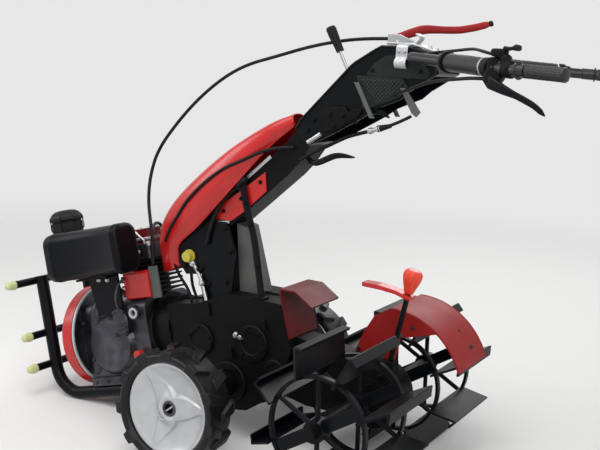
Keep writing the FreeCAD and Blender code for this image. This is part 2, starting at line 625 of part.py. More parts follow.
finish(join("HeadStruts", [struts, hanger]), "head_struts", machineFrame)

# Red side panels on the column's flanks
finish(plate_pair("SidePanel", [("84", "604"), ("-1", "668"), ("-66", "718"), ("-72", "668"),
                                ("-5", "606"), ("36", "576"), ("96", "576")], "columnHalf", "3"),
       "side_panels", machineFrame)

# Hood: a folded red shell over the column, narrow at both ends
# Stations along it: X and Z of its ridge, its depth, half width at the lip and how far the lip
# lies ahead of the ridge
hoodStations = [(-126, 875, 26, 30, -10), (-58, 843, 60, 62, -14), (60, 765, 92, 84, -40),
                (188, 655, 96, 84, -64), (258, 572, 74, 70, -64), (284, 495, 34, 58, -78),
                (268, 398, -30, 50, -64)]


def hood_section(station, inset):
    x, z, depth, half, lean = station
    half -= inset
    lip = Vector(x + lean, 0, z - depth)
    ridge = Vector(x, 0, z) + (lip - Vector(x, 0, z)).normalize() * inset
    shoulder = ridge + (lip - ridge) * 0.22
    wide = Vector(0, half, 0)
    return [lip - wide, shoulder - wide * 0.86, ridge - wide * 0.2, ridge + wide * 0.2,
            shoulder + wide * 0.86, lip + wide]


sections = []
for station in hoodStations:
    outer = hood_section(station, 0)
    inner = hood_section(station, size("hoodWall"))
    ring = outer + inner[::-1]
    sections.append(Part.makePolygon(ring + ring[:1]))
# A stay from the column's top edge holds the shell up
stay = side_plate("HoodStay", [("37.1", "656"), ("19.2", "672"), ("19.2", "790.5"), ("37.1", "779")], "-3", "6")
finish(join("Hood", [shaped("HoodShell", Part.makeLoft(sections, True, True)), stay]), "hood", machineFrame)

# Handle arms with their knurled sleeves, and the grips
armPath = [(-486, size("headHalf"), 1036), (-486, 96, 1036), (-600, 152, 1034), (-742, 258, 1029),
           (-815, 297, 1026.2), (-838, 303.6, 1025.8)]
gripPath = [(-838, 303.6, 1025.8), (-932, 330.8, 1024.1)]
sleevePath = [(-612, 161, 1033.6), (-728, 247.5, 1029.5)]
grips = []
for side, flip in (("Left", list), ("Right", mirrored)):
    arm = tube(f"Arm{side}", flip(armPath), size("armRadius"))
    sleeve = tube(f"Sleeve{side}", flip(sleevePath), size("armRadius") + 8)
    finish(join(f"HandleArm{side}", [arm, sleeve]), f"handle_arm_{side.lower()}", machineFrame)
    grips.append(tube(f"Grip{side}", flip(gripPath), size("gripRadius")))
finish(join("Grips", grips), "grips", machineFrame)

# Small controls, with no joints
controls = [
    ("GearLever", "gear_lever", [(-279, -10, 976.1), (-264, -10, 990.4), (-236, -10, 1042)], 5, None),
    ("GearGrip", "gear_grip", [(-236, -10, 1042), (-203.6, -10, 1101.7)], 14, None),
    ("BrakeLever", "brake_lever", [(-750, 276, 1000), (-750, 290, 1000), (-794, 300, 984),
                                   (-826, 306, 974), (-872, 316, 957), (-891, 322, 940)], 6, None),
    ("ClutchLever", "clutch_lever", [(-366, -50, 1083), (-366, -68, 1083), (-394, -90, 1100),
                                     (-424, -110, 1114),
                                     (-464, -135, 1108), (-498, -155, 1109), (-537, -170, 1120),
                                     (-576, -187, 1138)], 8, None),
    ("ThrottleLever", "throttle_lever", [(-764, 280, 1064), (-784, 285, 1064), (-805, 290, 1073)], 8, None),
]
for name, label, points, radius, bend in controls:
    finish(tube(name, points, radius, bend), label, machineFrame)

# Lever perches under the arms, cut to the arm
perches = []
seatRadius = size("armRadius") + size("perchGap")
for side, flip, inner in (("Left", list, 15), ("Right", mirrored, 18.5)):
    bend = bent_path(flip(armPath)).Edges[5]
    halfway = (bend.FirstParameter + bend.LastParameter) / 2
    along = bend.tangentAt(halfway)
    middle = bend.valueAt(halfway)
    seat = Part.makeCylinder(seatRadius, 80, middle - along * 40, along)
    perch = Part.makeBox(24, 33.5, 34, middle - Vector(12, inner, 34)).cut(seat)
    perches.append(shaped(f"Perch{side}", perch))
corner = Vector(*armPath[3])
seat = Part.makeCylinder(seatRadius, 100, corner, Vector(*armPath[4]) - corner)
perches.append(shaped("ThrottleClamp", Part.makeBox(26, 22, 21, Vector(-785, 268, 1035)).cut(seat)))
finish(join("Perches", perches), "lever_perches", machineFrame)

# Lever bracket on the head's top, carrying the red lever and the long cable
finish(side_plate("LeverBracket", [("-352", "1038.3"), ("-373", "1051"), ("-391", "1061"),
                                   ("-440", "1061.6"), ("-440", "1072"), ("-384", "1092"),
                                   ("-352", "1092")], "-50", "6"), "lever_bracket", machineFrame)

# Latch levers below the column and head, and the link rod between them
latches = [tube("UpperLatch", [(-322, 52.7, 869), (-345, 52.7, 892), (-386, 52.7, 902), (-420, 52.7, 888)], 7),
           tube("LowerLatch", [(-179.2, 30, 765.6), (-217, 50, 757), (-280, 60, 782), (-337, 66, 784)], 7)]
finish(join("LatchLevers", latches), "latch_levers", machineFrame)
linkRod = tube("LinkRodBar", [(-170, 51.2, 760), (-212, 56, 783), (-311, 62, 833), (-366, 64, 850)], 5)
adjuster = tube("CableAdjuster", [(-355, 63.6, 846.6), (-402, 65.309, 861.127)], 9)
finish(join("LinkRod", [linkRod, adjuster]), "link_rod", machineFrame)

# Right rear fender about the rotor's own middle line: a rolled top sheet and the inner side plate
def about_rotor(radius, angle):
    turn = math.radians(angle)
    return Vector(-math.cos(turn) * radius, 0, math.sin(turn) * radius)


# Arc from one angle to another, both measured above the horizontal from straight behind
def rolled(radius, start, end):
    return Part.Arc(about_rotor(radius, start), about_rotor(radius, (start + end) / 2),
                    about_rotor(radius, end)).toShape()


def closed_face(edges):
    return Part.Face(Part.Wire(Part.__sortEdges__(edges)))


fenderOut = size("fenderRadius")
fenderIn = fenderOut - size("fenderWall")
fenderRear = size("fenderRear")
fenderFront = size("fenderFront")
inner = size("fenderInner")
topSheet = closed_face([
    rolled(fenderOut, fenderRear, fenderFront), rolled(fenderIn, fenderRear, fenderFront),
    Part.makeLine(about_rotor(fenderOut, fenderRear), about_rotor(fenderIn, fenderRear)),
    Part.makeLine(about_rotor(fenderOut, fenderFront), about_rotor(fenderIn, fenderFront))])
topSheet = topSheet.extrude(Vector(0, inner - size("fenderOuter"), 0))
topSheet.translate(Vector(0, -inner, 0))
# The side plate's free corners, X and Z from the top sheet's front edge round to its rear part
plateCorners = [(51, 182), (78, 137), (104, 77), (92, 20), (30, 4), (-4, 34), (-20, 95), (-27, 134)]
plateRear = 52
free = ([about_rotor(fenderOut, fenderFront)] + [Vector(x, 0, z) for x, z in plateCorners]
        + [about_rotor(fenderIn, plateRear), about_rotor(fenderOut, plateRear)])
sidePlate = closed_face([rolled(fenderOut, plateRear, fenderFront)]
                        + [Part.makeLine(here, after) for here, after in zip(free, free[1:])])
sidePlate = sidePlate.extrude(Vector(0, size("fenderWall"), 0))
sidePlate.translate(Vector(0, -inner, 0))
legFoot = Part.makeCylinder(size("fenderFoot"), inner - size("rotorCaseHalf") - size("fenderWall"),
                            Vector(58, -inner + size("fenderWall"), 34), Vector(0, 1, 0))
finish(shaped("Fender", topSheet.multiFuse([sidePlate, legFoot])), "fender_right", rotorFrame)

# Red guard behind the gearbox, a bent sheet standing on the drive arm
wall = "guardWall"
guard = side_plate("Guard", [
    ("-208.4", "96.6"), ("-205.4", "190"), ("-205.4", "226"), ("-252", "214"), ("-292", "168"),
    (f"-292 - {wall}", f"168 + {wall}"), (f"-252 - {wall} / 2", f"214 + {wall}"),
    (f"-205.4 - {wall} * 1.3", f"226 + {wall}"), (f"-205.4 - {wall}", "186"), (f"-208.4 - {wall}", "96.6")],
    "-62", "138")
finish(guard, "guard_left", chassisFrame)

# Depth post on the rotor case, leaning back, with its orange-red knob and the thin step lever
postFrame = rotorFrame.multiply(Placement(Vector(-size("postBehind"), 0, size("bossTop")),
                                          Rotation(Vector(0, 1, 0), -size("postLean"))))
postFoot = size("depthPostRadius") * math.tan(math.radians(size("postLean"))) + 0.02
finish(rod("DepthPost", "depthPostRadius", f"depthPostLong - {postFoot:.3f}", ("0", "0", f"{postFoot:.3f}")),
       "depth_post", postFrame)
knobStart = "depthPostLong"
finish(turned("DepthKnob", "z", [
    ("0", knobStart), ("depthKnobRadius - 12", knobStart), ("depthKnobRadius", f"{knobStart} + depthKnobLong * 0.7"),
    ("depthKnobRadius - 6", f"{knobStart} + depthKnobLong"), ("0", f"{knobStart} + depthKnobLong")]),
    "depth_knob", postFrame)
stepPlate = side_plate("StepPlate", [
    ("124", f"{knobStart} - 14"), ("80", f"{knobStart} - 5"), ("30", f"{knobStart} - 1"),
    ("-14", f"{knobStart} - 4"), ("-14", f"{knobStart} - 14"), ("30", f"{knobStart} - 11"),
    ("70", f"{knobStart} - 15"), ("121", f"{knobStart} - 24")], "-16", "32")
stepBore = rod("StepBore", "depthPostRadius", "depthPostLong", ("0", "0", "0"))
finish(cut("StepLever", stepPlate, stepBore), "step_lever", postFrame)

# Cables held all the way
cables = [
    ("LoopCable", "loop_cable", [(-351.9, -47, 1080), (-297, -46, 1078), (-226, -35, 1069), (-130, -30, 1048),
                                 (-39, -20, 1018), (49, -10, 991), (121, 0, 948), (193, 10, 885),
                                 (256, 20, 811), (305, 30, 737), (318, 42, 665), (310, 56, 600),
                                 (288, 70, 545), (266, 83, 490), (258, 89, 432.3)], 4.5),
    ("HoodCable", "hood_cable", [(-150, 50.7, 790), (-112, 61, 787), (-65, 71, 773), (-19, 78, 748),
                                 (40, 84, 721), (100, 86, 676), (156, 85, 621), (188, 80, 574),
                                 (223, 71, 530), (240, 62, 496)], 4.5),
    ("Hose", "clutch_hose", [(1, 52.4, 684), (55, 58, 640), (92, 60.6, 565), (104, 60.3, 505)], 6),
    ("PerchCable", "perch_cable", [(-730.6, 254, 1000), (-708, 254, 1000), (-650, 216, 994), (-570, 166, 985),
                                   (-497, 118, 962), (-439, 72.3, 945)], 4),
    ("AdjusterCable", "adjuster_cable", [(-402, 65.3, 861.1), (-440, 66.7, 872.8), (-484, 71, 897)], 4),
    ("ThrottleCable", "throttle_cable", [(-510, 64.2, 1038), (-510, 78, 1038), (-530, 92, 1048),
                                         (-580, 106, 1054), (-632, 150, 1058), (-690, 212, 1062),
                                         (-734, 274, 1056), (-758.9, 276, 1051)], 3.5),
]
for name, label, points, radius in cables:
    finish(tube(name, points, radius), label, machineFrame)

# Write the pieces
document.recompute()
failed = [item.Name for item in document.Objects
          if "Invalid" in item.State or "Error" in item.State]
if failed:
    raise RuntimeError(f"failed objects: {failed}")
unsound = [piece.Label for piece in pieces
           if piece.Shape.isNull() or not piece.Shape.isValid() or piece.Shape.Volume <= 0]
if unsound:
    raise RuntimeError(f"unsound shapes: {unsound}")
os.makedirs("parts", exist_ok=True)
for piece in pieces:
    piece.Shape.exportStep(f"parts/{piece.Label}.step")
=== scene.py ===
import json
import math

import bmesh
import bpy
import numpy as np
from mathutils import Matrix, Vector


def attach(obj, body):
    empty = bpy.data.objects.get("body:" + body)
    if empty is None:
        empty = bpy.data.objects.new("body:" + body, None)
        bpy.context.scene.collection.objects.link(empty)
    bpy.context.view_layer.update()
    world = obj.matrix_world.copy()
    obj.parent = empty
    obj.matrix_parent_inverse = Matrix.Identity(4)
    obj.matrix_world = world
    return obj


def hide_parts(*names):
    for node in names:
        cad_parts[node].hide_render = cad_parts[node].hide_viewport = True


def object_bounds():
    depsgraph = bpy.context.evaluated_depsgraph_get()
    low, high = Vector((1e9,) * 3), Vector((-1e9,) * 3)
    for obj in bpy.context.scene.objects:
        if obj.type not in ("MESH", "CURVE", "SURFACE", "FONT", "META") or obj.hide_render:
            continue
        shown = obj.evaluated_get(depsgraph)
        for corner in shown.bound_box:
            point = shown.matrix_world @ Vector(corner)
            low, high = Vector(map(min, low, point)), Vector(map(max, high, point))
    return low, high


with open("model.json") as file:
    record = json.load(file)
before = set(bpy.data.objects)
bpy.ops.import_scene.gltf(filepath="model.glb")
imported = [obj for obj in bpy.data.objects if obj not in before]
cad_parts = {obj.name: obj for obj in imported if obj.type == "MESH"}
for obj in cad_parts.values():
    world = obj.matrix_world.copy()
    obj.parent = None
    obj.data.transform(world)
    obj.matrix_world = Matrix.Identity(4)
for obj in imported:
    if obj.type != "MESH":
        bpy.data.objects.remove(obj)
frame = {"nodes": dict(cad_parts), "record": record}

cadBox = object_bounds()
nodes = frame["nodes"]
scene = bpy.context.scene
print("frame loaded:", len(nodes), "nodes")

# Camera at the photograph's own viewpoint, metres and degrees in the model's frame
camera = {
    "place": (-1.3420, 2.1383, 1.0256),
    "yaw": 25.04,       # turned from looking along -Y towards +X
    "pitch": 6.41,      # looking down
    "roll": 3.55,
    "focal": 961.8,     # in the photograph's pixels
    "width": 600,
    "shift": (110, -55),  # the photograph's middle lies off the lens axis, in pixels
}


def addCamera(look):
    yaw, pitch, roll = (math.radians(look[key]) for key in ("yaw", "pitch", "roll"))
    ahead = Vector((math.sin(yaw) * math.cos(pitch), -math.cos(yaw) * math.cos(pitch), -math.sin(pitch)))
    side = ahead.cross(Vector((0, 0, 1))).normalized()
    above = side.cross(ahead)
    right = side * math.cos(roll) + above * math.sin(roll)
    up = above * math.cos(roll) - side * math.sin(roll)
    data = bpy.data.cameras.new("camera")
    data.sensor_width = 36
    data.lens = look["focal"] * data.sensor_width / look["width"]
    data.shift_x = -look["shift"][0] / look["width"]
    data.shift_y = look["shift"][1] / look["width"]
    data.clip_end = 60
    item = bpy.data.objects.new("camera", data)
    item.matrix_world = Matrix.Translation(look["place"]) @ Matrix((right, up, -ahead)).transposed().to_4x4()
    scene.collection.objects.link(item)
    scene.camera = item


addCamera(camera)

# Plain pale floor, soft lamps and a pale world that the camera and mirrors see as white
stage = {"floorHalf": 14.0, "floorColour": (0.78, 0.775, 0.77), "worldLight": 0.42, "worldSeen": 0.8,
         "fadeFrom": 1.0, "fadeTo": 4.6}


# The floor gives way to the pale world with its distance from the machine, so no horizon shows
def fadeFloor(tree, shader, look):
    place = tree.nodes.new("ShaderNodeTexCoord")
    far = tree.nodes.new("ShaderNodeVectorMath")
    far.operation = "LENGTH"
    fade = tree.nodes.new("ShaderNodeMapRange")
    fade.interpolation_type = "SMOOTHSTEP"
    fade.inputs["From Min"].default_value = look["fadeFrom"]
    fade.inputs["From Max"].default_value = look["fadeTo"]
    clear = tree.nodes.new("ShaderNodeBsdfTransparent")
    mix = tree.nodes.new("ShaderNodeMixShader")
    link = tree.links.new
    link(place.outputs["Object"], far.inputs[0])
    link(far.outputs["Value"], fade.inputs["Value"])
    link(fade.outputs[0], mix.inputs[0])
    link(shader.outputs[0], mix.inputs[1])
    link(clear.outputs[0], mix.inputs[2])
    link(mix.outputs[0], tree.nodes["Material Output"].inputs["Surface"])


def addStage(look):
    half = look["floorHalf"]
    mesh = bpy.data.meshes.new("floor")
    mesh.from_pydata([(-half, -half, 0), (half, -half, 0), (half, half, 0), (-half, half, 0)], [],
                     [(0, 1, 2, 3)])
    floor = bpy.data.objects.new("floor", mesh)
    floor.location.z = cadBox[0].z - 0.0005
    scene.collection.objects.link(floor)
    paper = bpy.data.materials.new("floor")
    paper.use_nodes = True
    shader = paper.node_tree.nodes["Principled BSDF"]
    shader.inputs["Base Color"].default_value = (*look["floorColour"], 1)
    shader.inputs["Roughness"].default_value = 0.85
    fadeFloor(paper.node_tree, shader, look)
    mesh.materials.append(paper)

    world = bpy.data.worlds.new("studio")
    world.use_nodes = True
    scene.world = world
    tree = world.node_tree
    light = tree.nodes["Background"]
    light.inputs["Color"].default_value = (1, 1, 1, 1)
    light.inputs["Strength"].default_value = look["worldLight"]
    white = tree.nodes.new("ShaderNodeBackground")
    white.inputs["Color"].default_value = (look["worldSeen"], look["worldSeen"], look["worldSeen"], 1)
    path = tree.nodes.new("ShaderNodeLightPath")
    seen = tree.nodes.new("ShaderNodeMath")
    seen.operation = "MAXIMUM"
    mix = tree.nodes.new("ShaderNodeMixShader")
    tree.links.new(path.outputs["Is Camera Ray"], seen.inputs[0])
    tree.links.new(path.outputs["Is Glossy Ray"], seen.inputs[1])
    tree.links.new(seen.outputs[0], mix.inputs[0])
    tree.links.new(light.outputs[0], mix.inputs[1])
    tree.links.new(white.outputs[0], mix.inputs[2])
    tree.links.new(mix.outputs[0], tree.nodes["World Output"].inputs[0])


# Each lamp: place, what it points at, size and watts
lamps = {
    "overhead": ((0.3, 1.2, 3.4), (0, 0, 0.4), 2.6, 70),
    "near": ((-2.6, 2.6, 2.4), (0, 0, 0.5), 1.8, 55),
    "front": ((3.0, 1.6, 1.9), (0.2, 0, 0.5), 1.6, 32),
    "far": ((0.2, -3.0, 2.2), (0, 0, 0.5), 1.8, 30),
}


def addLamps(table):
    for name, (place, target, wide, watts) in table.items():
        data = bpy.data.lights.new(name, "AREA")
        data.size = wide
        data.energy = watts
        item = bpy.data.objects.new(name, data)
        item.location = place
        item.rotation_euler = (Vector(target) - Vector(place)).to_track_quat("-Z", "Y").to_euler()
        scene.collection.objects.link(item)


addStage(stage)
addLamps(lamps)
scene.view_settings.view_transform = "Standard"
print("camera, floor and lamps set")

# Finishes: base colour, the other colour of its patches and their share, roughness, fine grain and its
# bump, metal and how strongly it mirrors
finishes = {
    "tyre": {"colour": (0.004, 0.004, 0.005), "other": (0.014, 0.013, 0.014), "share": 0.5, "rough": 0.38,
             "grain": 260, "bump": 0.25, "metal": 0, "mirror": 0.26},
    "silver_paint": {"colour": (0.50, 0.515, 0.525), "other": (0.30, 0.31, 0.315), "share": 0.35, "rough": 0.34,
                     "grain": 420, "bump": 0.05, "metal": 0.35, "mirror": 0.5},
    "black_paint": {"colour": (0.0025, 0.003, 0.0045), "other": (0.0065, 0.007, 0.009), "share": 0.45, "rough": 0.32,
                    "grain": 380, "bump": 0.07, "metal": 0, "mirror": 0.12},
    "black_panel": {"colour": (0.012, 0.0135, 0.0135), "other": (0.024, 0.026, 0.025), "share": 0.45, "rough": 0.42,
                    "grain": 380, "bump": 0.08, "metal": 0, "mirror": 0.16},
    "grey_casting": {"colour": (0.04, 0.04, 0.05), "other": (0.17, 0.17, 0.20), "share": 0.5, "rough": 0.34,
                     "grain": 300, "bump": 0.35, "metal": 0.8, "mirror": 0.5},
    "black_casting": {"colour": (0.003, 0.0031, 0.0036), "other": (0.009, 0.0085, 0.0085), "share": 0.5, "rough": 0.46,
                      "grain": 240, "bump": 0.35, "metal": 0, "mirror": 0.1},
    "red_paint": {"colour": (0.50, 0.010, 0.009), "other": (0.30, 0.007, 0.007), "share": 0.4, "rough": 0.24,
                  "grain": 300, "bump": 0.04, "metal": 0, "mirror": 0.5},
    "dark_red": {"colour": (0.12, 0.006, 0.009), "other": (0.06, 0.005, 0.007), "share": 0.5, "rough": 0.42,
                 "grain": 300, "bump": 0.05, "metal": 0, "mirror": 0.2},
    "worn_red": {"colour": (0.29, 0.013, 0.013), "other": (0.17, 0.011, 0.012), "share": 0.5, "rough": 0.42,
                 "grain": 300, "bump": 0.06, "metal": 0, "mirror": 0.14},
    "worn_black": {"colour": (0.007, 0.007, 0.009), "other": (0.022, 0.022, 0.027), "share": 0.5, "rough": 0.33,
                   "grain": 300, "bump": 0.1, "metal": 0, "mirror": 0.42},
    "wheel_silver": {"colour": (0.52, 0.53, 0.55), "other": (0.31, 0.32, 0.33), "share": 0.5, "rough": 0.3,
                     "grain": 420, "bump": 0.05, "metal": 0.5, "mirror": 0.5},
    "orange_red": {"colour": (0.58, 0.030, 0.014), "other": (0.40, 0.02, 0.012), "share": 0.4, "rough": 0.28,
                   "grain": 300, "bump": 0.04, "metal": 0, "mirror": 0.45},
    "bare_steel": {"colour": (0.50, 0.50, 0.51), "other": (0.26, 0.26, 0.27), "share": 0.5, "rough": 0.3,
                   "grain": 500, "bump": 0.1, "metal": 0.95, "mirror": 0.5},
    "grey_paint": {"colour": (0.105, 0.110, 0.105), "other": (0.05, 0.052, 0.05), "share": 0.55, "rough": 0.42,
                   "grain": 340, "bump": 0.08, "metal": 0.2, "mirror": 0.35},
    "pale_cap": {"colour": (0.56, 0.60, 0.30), "other": (0.46, 0.50, 0.22), "share": 0.4, "rough": 0.42,
                 "grain": 300, "bump": 0.05, "metal": 0, "mirror": 0.45},
    "red_cap": {"colour": (0.50, 0.02, 0.015), "other": (0.34, 0.015, 0.012), "share": 0.4, "rough": 0.4,
                "grain": 300, "bump": 0.05, "metal": 0, "mirror": 0.45},
    "orange_knob": {"colour": (0.74, 0.045, 0.018), "other": (0.55, 0.03, 0.014), "share": 0.4, "rough": 0.28,
                    "grain": 300, "bump": 0.04, "metal": 0, "mirror": 0.5},
    "yellow_plug": {"colour": (0.52, 0.44, 0.05), "other": (0.36, 0.30, 0.04), "share": 0.45, "rough": 0.38,
                    "grain": 300, "bump": 0.05, "metal": 0, "mirror": 0.45},
    "black_plastic": {"colour": (0.005, 0.0053, 0.006), "other": (0.014, 0.014, 0.015), "share": 0.45, "rough": 0.4,
                      "grain": 420, "bump": 0.15, "metal": 0, "mirror": 0.15},
    "grip_rubber": {"colour": (0.006, 0.006, 0.0065), "other": (0.016, 0.016, 0.0165), "share": 0.45, "rough": 0.5,
                    "grain": 420, "bump": 0.2, "metal": 0, "mirror": 0.16},
    "cable_black": {"colour": (0.006, 0.006, 0.0065), "other": (0.02, 0.02, 0.02), "share": 0.45, "rough": 0.42,
                    "grain": 420, "bump": 0.06, "metal": 0, "mirror": 0.16},
    "hose_grey": {"colour": (0.12, 0.12, 0.12), "other": (0.07, 0.07, 0.07), "share": 0.45, "rough": 0.5,
                  "grain": 420, "bump": 0.08, "metal": 0, "mirror": 0.3},
}


def makeFinish(name, look):
    finish = bpy.data.materials.new(name)
    finish.use_nodes = True
    tree = finish.node_tree
    shader = tree.nodes["Principled BSDF"]
    shader.inputs["Metallic"].default_value = look["metal"]
    shader.inputs["Specular IOR Level"].default_value = look["mirror"]
    place = tree.nodes.new("ShaderNodeTexCoord")
    patches = tree.nodes.new("ShaderNodeTexNoise")
    patches.inputs["Scale"].default_value = 14
    patches.inputs["Detail"].default_value = 7
    patches.inputs["Roughness"].default_value = 0.65
    ramp = tree.nodes.new("ShaderNodeValToRGB")
    ramp.color_ramp.elements[0].position = 0.42
    ramp.color_ramp.elements[1].position = 0.75
    ramp.color_ramp.elements[0].color = (*look["colour"], 1)
    blend = [a + (b - a) * look["share"] for a, b in zip(look["colour"], look["other"])]
    ramp.color_ramp.elements[1].color = (*blend, 1)
    rough = tree.nodes.new("ShaderNodeMapRange")
    rough.inputs["To Min"].default_value = look["rough"] * 0.8
    rough.inputs["To Max"].default_value = min(1, look["rough"] * 1.35)
    grain = tree.nodes.new("ShaderNodeTexNoise")
    grain.inputs["Scale"].default_value = look["grain"]
    grain.inputs["Detail"].default_value = 4
    edge = tree.nodes.new("ShaderNodeBevel")
    edge.samples = 4
    edge.inputs["Radius"].default_value = 0.0018
    bump = tree.nodes.new("ShaderNodeBump")
    bump.inputs["Strength"].default_value = look["bump"]
    bump.inputs["Distance"].default_value = 0.001
    link = tree.links.new
    link(place.outputs["Object"], patches.inputs["Vector"])
    link(place.outputs["Object"], grain.inputs["Vector"])
    link(patches.outputs[0], ramp.inputs[0])
    link(ramp.outputs[0], shader.inputs["Base Color"])
    link(patches.outputs[0], rough.inputs["Value"])
    link(rough.outputs[0], shader.inputs["Roughness"])
    link(grain.outputs[0], bump.inputs["Height"])
    link(edge.outputs[0], bump.inputs["Normal"])
    link(bump.outputs[0], shader.inputs["Normal"])
    return finish


materials = {name: makeFinish(name, look) for name, look in finishes.items()}
slotOf = {part["node"]: part["material_slot"] for part in frame["record"]["subparts"]}
# Pieces that the photograph shows in another finish than the rest of their slot
otherFinish = {"handle_column": "black_casting", "cylinder_fins": "black_casting", "guard_left": "dark_red",
               "fender_right": "worn_red", "fender_lips": "worn_red", "arm_left_tube": "worn_black",
               "arm_right_tube": "worn_black", "grip_sleeves": "worn_black",
               "clutch_lever_blade": "worn_red", "wheel_left_pressed": "wheel_silver",
               "wheel_right_pressed": "wheel_silver"}
for name, item in nodes.items():
    item.data.materials.clear()
    item.data.materials.append(materials[otherFinish.get(name, slotOf[name])])
print("finishes set:", len(materials))

# Places: the machine's frame stands on the floor under the axle, the chassis' frame is nose down about
# the axle, the rotor's is level about its own shaft; rows of X, Y, Z go in as millimetres and come out
# in metres
places = {"axleAhead": 0.114, "axleUp": 0.150, "noseDown": 14.7, "rotorBehind": 0.405, "rotorUp": 0.1801565}


def onMachine(rows):
    return np.asarray(rows, float) / 1000 + (places["axleAhead"], 0, 0)


def onAxle(rows):
    return np.asarray(rows, float) / 1000 + (places["axleAhead"], 0, places["axleUp"])


def onRotor(rows):
    return np.asarray(rows, float) / 1000 + (places["axleAhead"] - places["rotorBehind"], 0, places["rotorUp"])


def onChassis(rows):
    turn = math.radians(places["noseDown"])
    ahead, side, up = np.moveaxis(np.asarray(rows, float) / 1000, -1, 0)
    return np.stack([ahead * math.cos(turn) + up * math.sin(turn) + places["axleAhead"], side,
                     up * math.cos(turn) - ahead * math.sin(turn) + places["axleUp"]], axis=-1)


# One piece from grids of points. A grid's rows follow its first parameter and its columns its second.
# "tube": the last column joins the first and both end rows are closed. "loop": rows and columns both join
# up. "sheet": left open, and given its wall by Solidify
def addPiece(name, grids, body, slot, replaced=(), place=onChassis, crease=34, wall=0, soften=0):
    corners, faces, start = [], [], 0
    for kind, grid in grids:
        rows, columns = grid.shape[:2]
        index = np.arange(rows * columns).reshape(rows, columns) + start
        if kind != "sheet":
            index = np.concatenate([index, index[:, :1]], axis=1)
        if kind == "loop":
            index = np.concatenate([index, index[:1]], axis=0)
        quads = np.stack([index[:-1, :-1], index[1:, :-1], index[1:, 1:], index[:-1, 1:]], axis=-1)
        faces += quads.reshape(-1, 4).tolist()
        if kind == "tube":
            faces += [index[0, :columns][::-1].tolist(), index[-1, :columns].tolist()]
        corners.append(place(grid.reshape(-1, 3)))
        start += rows * columns
    mesh = bpy.data.meshes.new(name)
    mesh.from_pydata(np.concatenate(corners).tolist(), [], faces)
    work = bmesh.new()
    work.from_mesh(mesh)
    bmesh.ops.remove_doubles(work, verts=work.verts, dist=2e-6)
    bmesh.ops.dissolve_degenerate(work, edges=work.edges, dist=1e-6)
    bmesh.ops.recalc_face_normals(work, faces=work.faces)
    work.to_mesh(mesh)
    work.free()
    mesh.polygons.foreach_set("use_smooth", np.ones(len(mesh.polygons), bool))
    mesh.set_sharp_from_angle(angle=math.radians(crease))
    item = bpy.data.objects.new(name, mesh)
    scene.collection.objects.link(item)
    if wall:
        thick = item.modifiers.new("wall", "SOLIDIFY")
        thick.thickness = wall / 1000
        thick.offset = 0
    if soften:
        edge = item.modifiers.new("soften", "BEVEL")
        edge.width = soften / 1000
        edge.segments = 2
        edge.limit_method = "ANGLE"
    mesh.materials.append(materials[otherFinish.get(name, slot)])
    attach(item, body)
    if replaced:
        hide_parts(*replaced)
    return item


# Points along a Catmull-Rom curve through the given corners: each span is a cubic in t of four corners
def smoothLine(corners, count, closed=False):
    corners = np.asarray(corners, float)
    if closed:
        padded = np.concatenate([corners[-1:], corners, corners[:2]])
    else:
        padded = np.concatenate([2 * corners[:1] - corners[1:2], corners, 2 * corners[-1:] - corners[-2:-1]])
    spans = len(padded) - 3
    along = np.linspace(0, spans, count, endpoint=not closed)
    at = np.minimum(along.astype(int), spans - 1)
    t = (along - at)[:, None]
    a, b, c, d = (padded[at + step] for step in range(4))
    return 0.5 * (2 * b + (c - a) * t + (2 * a - 5 * b + 4 * c - d) * t**2 + (3 * b - a - 3 * c + d) * t**3)


# A path through corners, each rounded by a parabola that starts and ends the given reach from it
def roundPath(corners, reach, steps=9):
    corners = np.asarray(corners, float)
    back, ahead = corners[:-2] - corners[1:-1], corners[2:] - corners[1:-1]
    backLong = np.linalg.norm(back, axis=1, keepdims=True)
    aheadLong = np.linalg.norm(ahead, axis=1, keepdims=True)
    cut = np.minimum(reach, 0.48 * np.minimum(backLong, aheadLong))
    enter = (corners[1:-1] + back / backLong * cut)[:, None]
    leave = (corners[1:-1] + ahead / aheadLong * cut)[:, None]
    t = np.linspace(0, 1, steps)[None, :, None]
    bends = (1 - t)**2 * enter + 2 * t * (1 - t) * corners[1:-1, None] + t**2 * leave
    return np.concatenate([corners[:1], bends.reshape(-1, 3), corners[-1:]])


# The same path with evenly spaced points, by its length along
def evenPath(path, count):
    path = np.asarray(path, float)
    along = np.concatenate([[0], np.cumsum(np.linalg.norm(np.diff(path, axis=0), axis=1))])
    marks = np.linspace(0, along[-1], count)
    return np.stack([np.interp(marks, along, path[:, axis]) for axis in range(path.shape[1])], axis=1)


# A profile carried along a path: each row is the profile in the plane across the path, scaled by size
def sweep(path, profile, up=(0, 0, 1), size=1.0):
    path = np.asarray(path, float)
    ahead = np.gradient(path, axis=0)
    ahead /= np.linalg.norm(ahead, axis=1, keepdims=True)
    side = np.cross(np.asarray(up, float), ahead)
    side /= np.linalg.norm(side, axis=1, keepdims=True)
    above = np.cross(ahead, side)
    size = np.broadcast_to(np.asarray(size, float), (len(path),))[:, None, None]
    return path[:, None] + (side[:, None] * profile[None, :, :1] + above[:, None] * profile[None, :, 1:]) * size


def circle(radius, count=24):
    turn = np.linspace(0, 2 * math.pi, count, endpoint=False)
    return np.stack([np.cos(turn), np.sin(turn)], axis=1) * radius


# Rounded rectangle: four quarter circles about the inset corners
def roundedSquare(wide, high, radius, steps=8):
    turn = (np.arange(4)[:, None] + np.linspace(0, 1, steps)[None]) * math.pi / 2
    turn = turn.reshape(-1)
    corner = np.repeat([(1, 1), (-1, 1), (-1, -1), (1, -1)], steps, axis=0)
    return corner * (wide / 2 - radius, high / 2 - radius) + np.stack([np.cos(turn), np.sin(turn)], axis=1) * radius


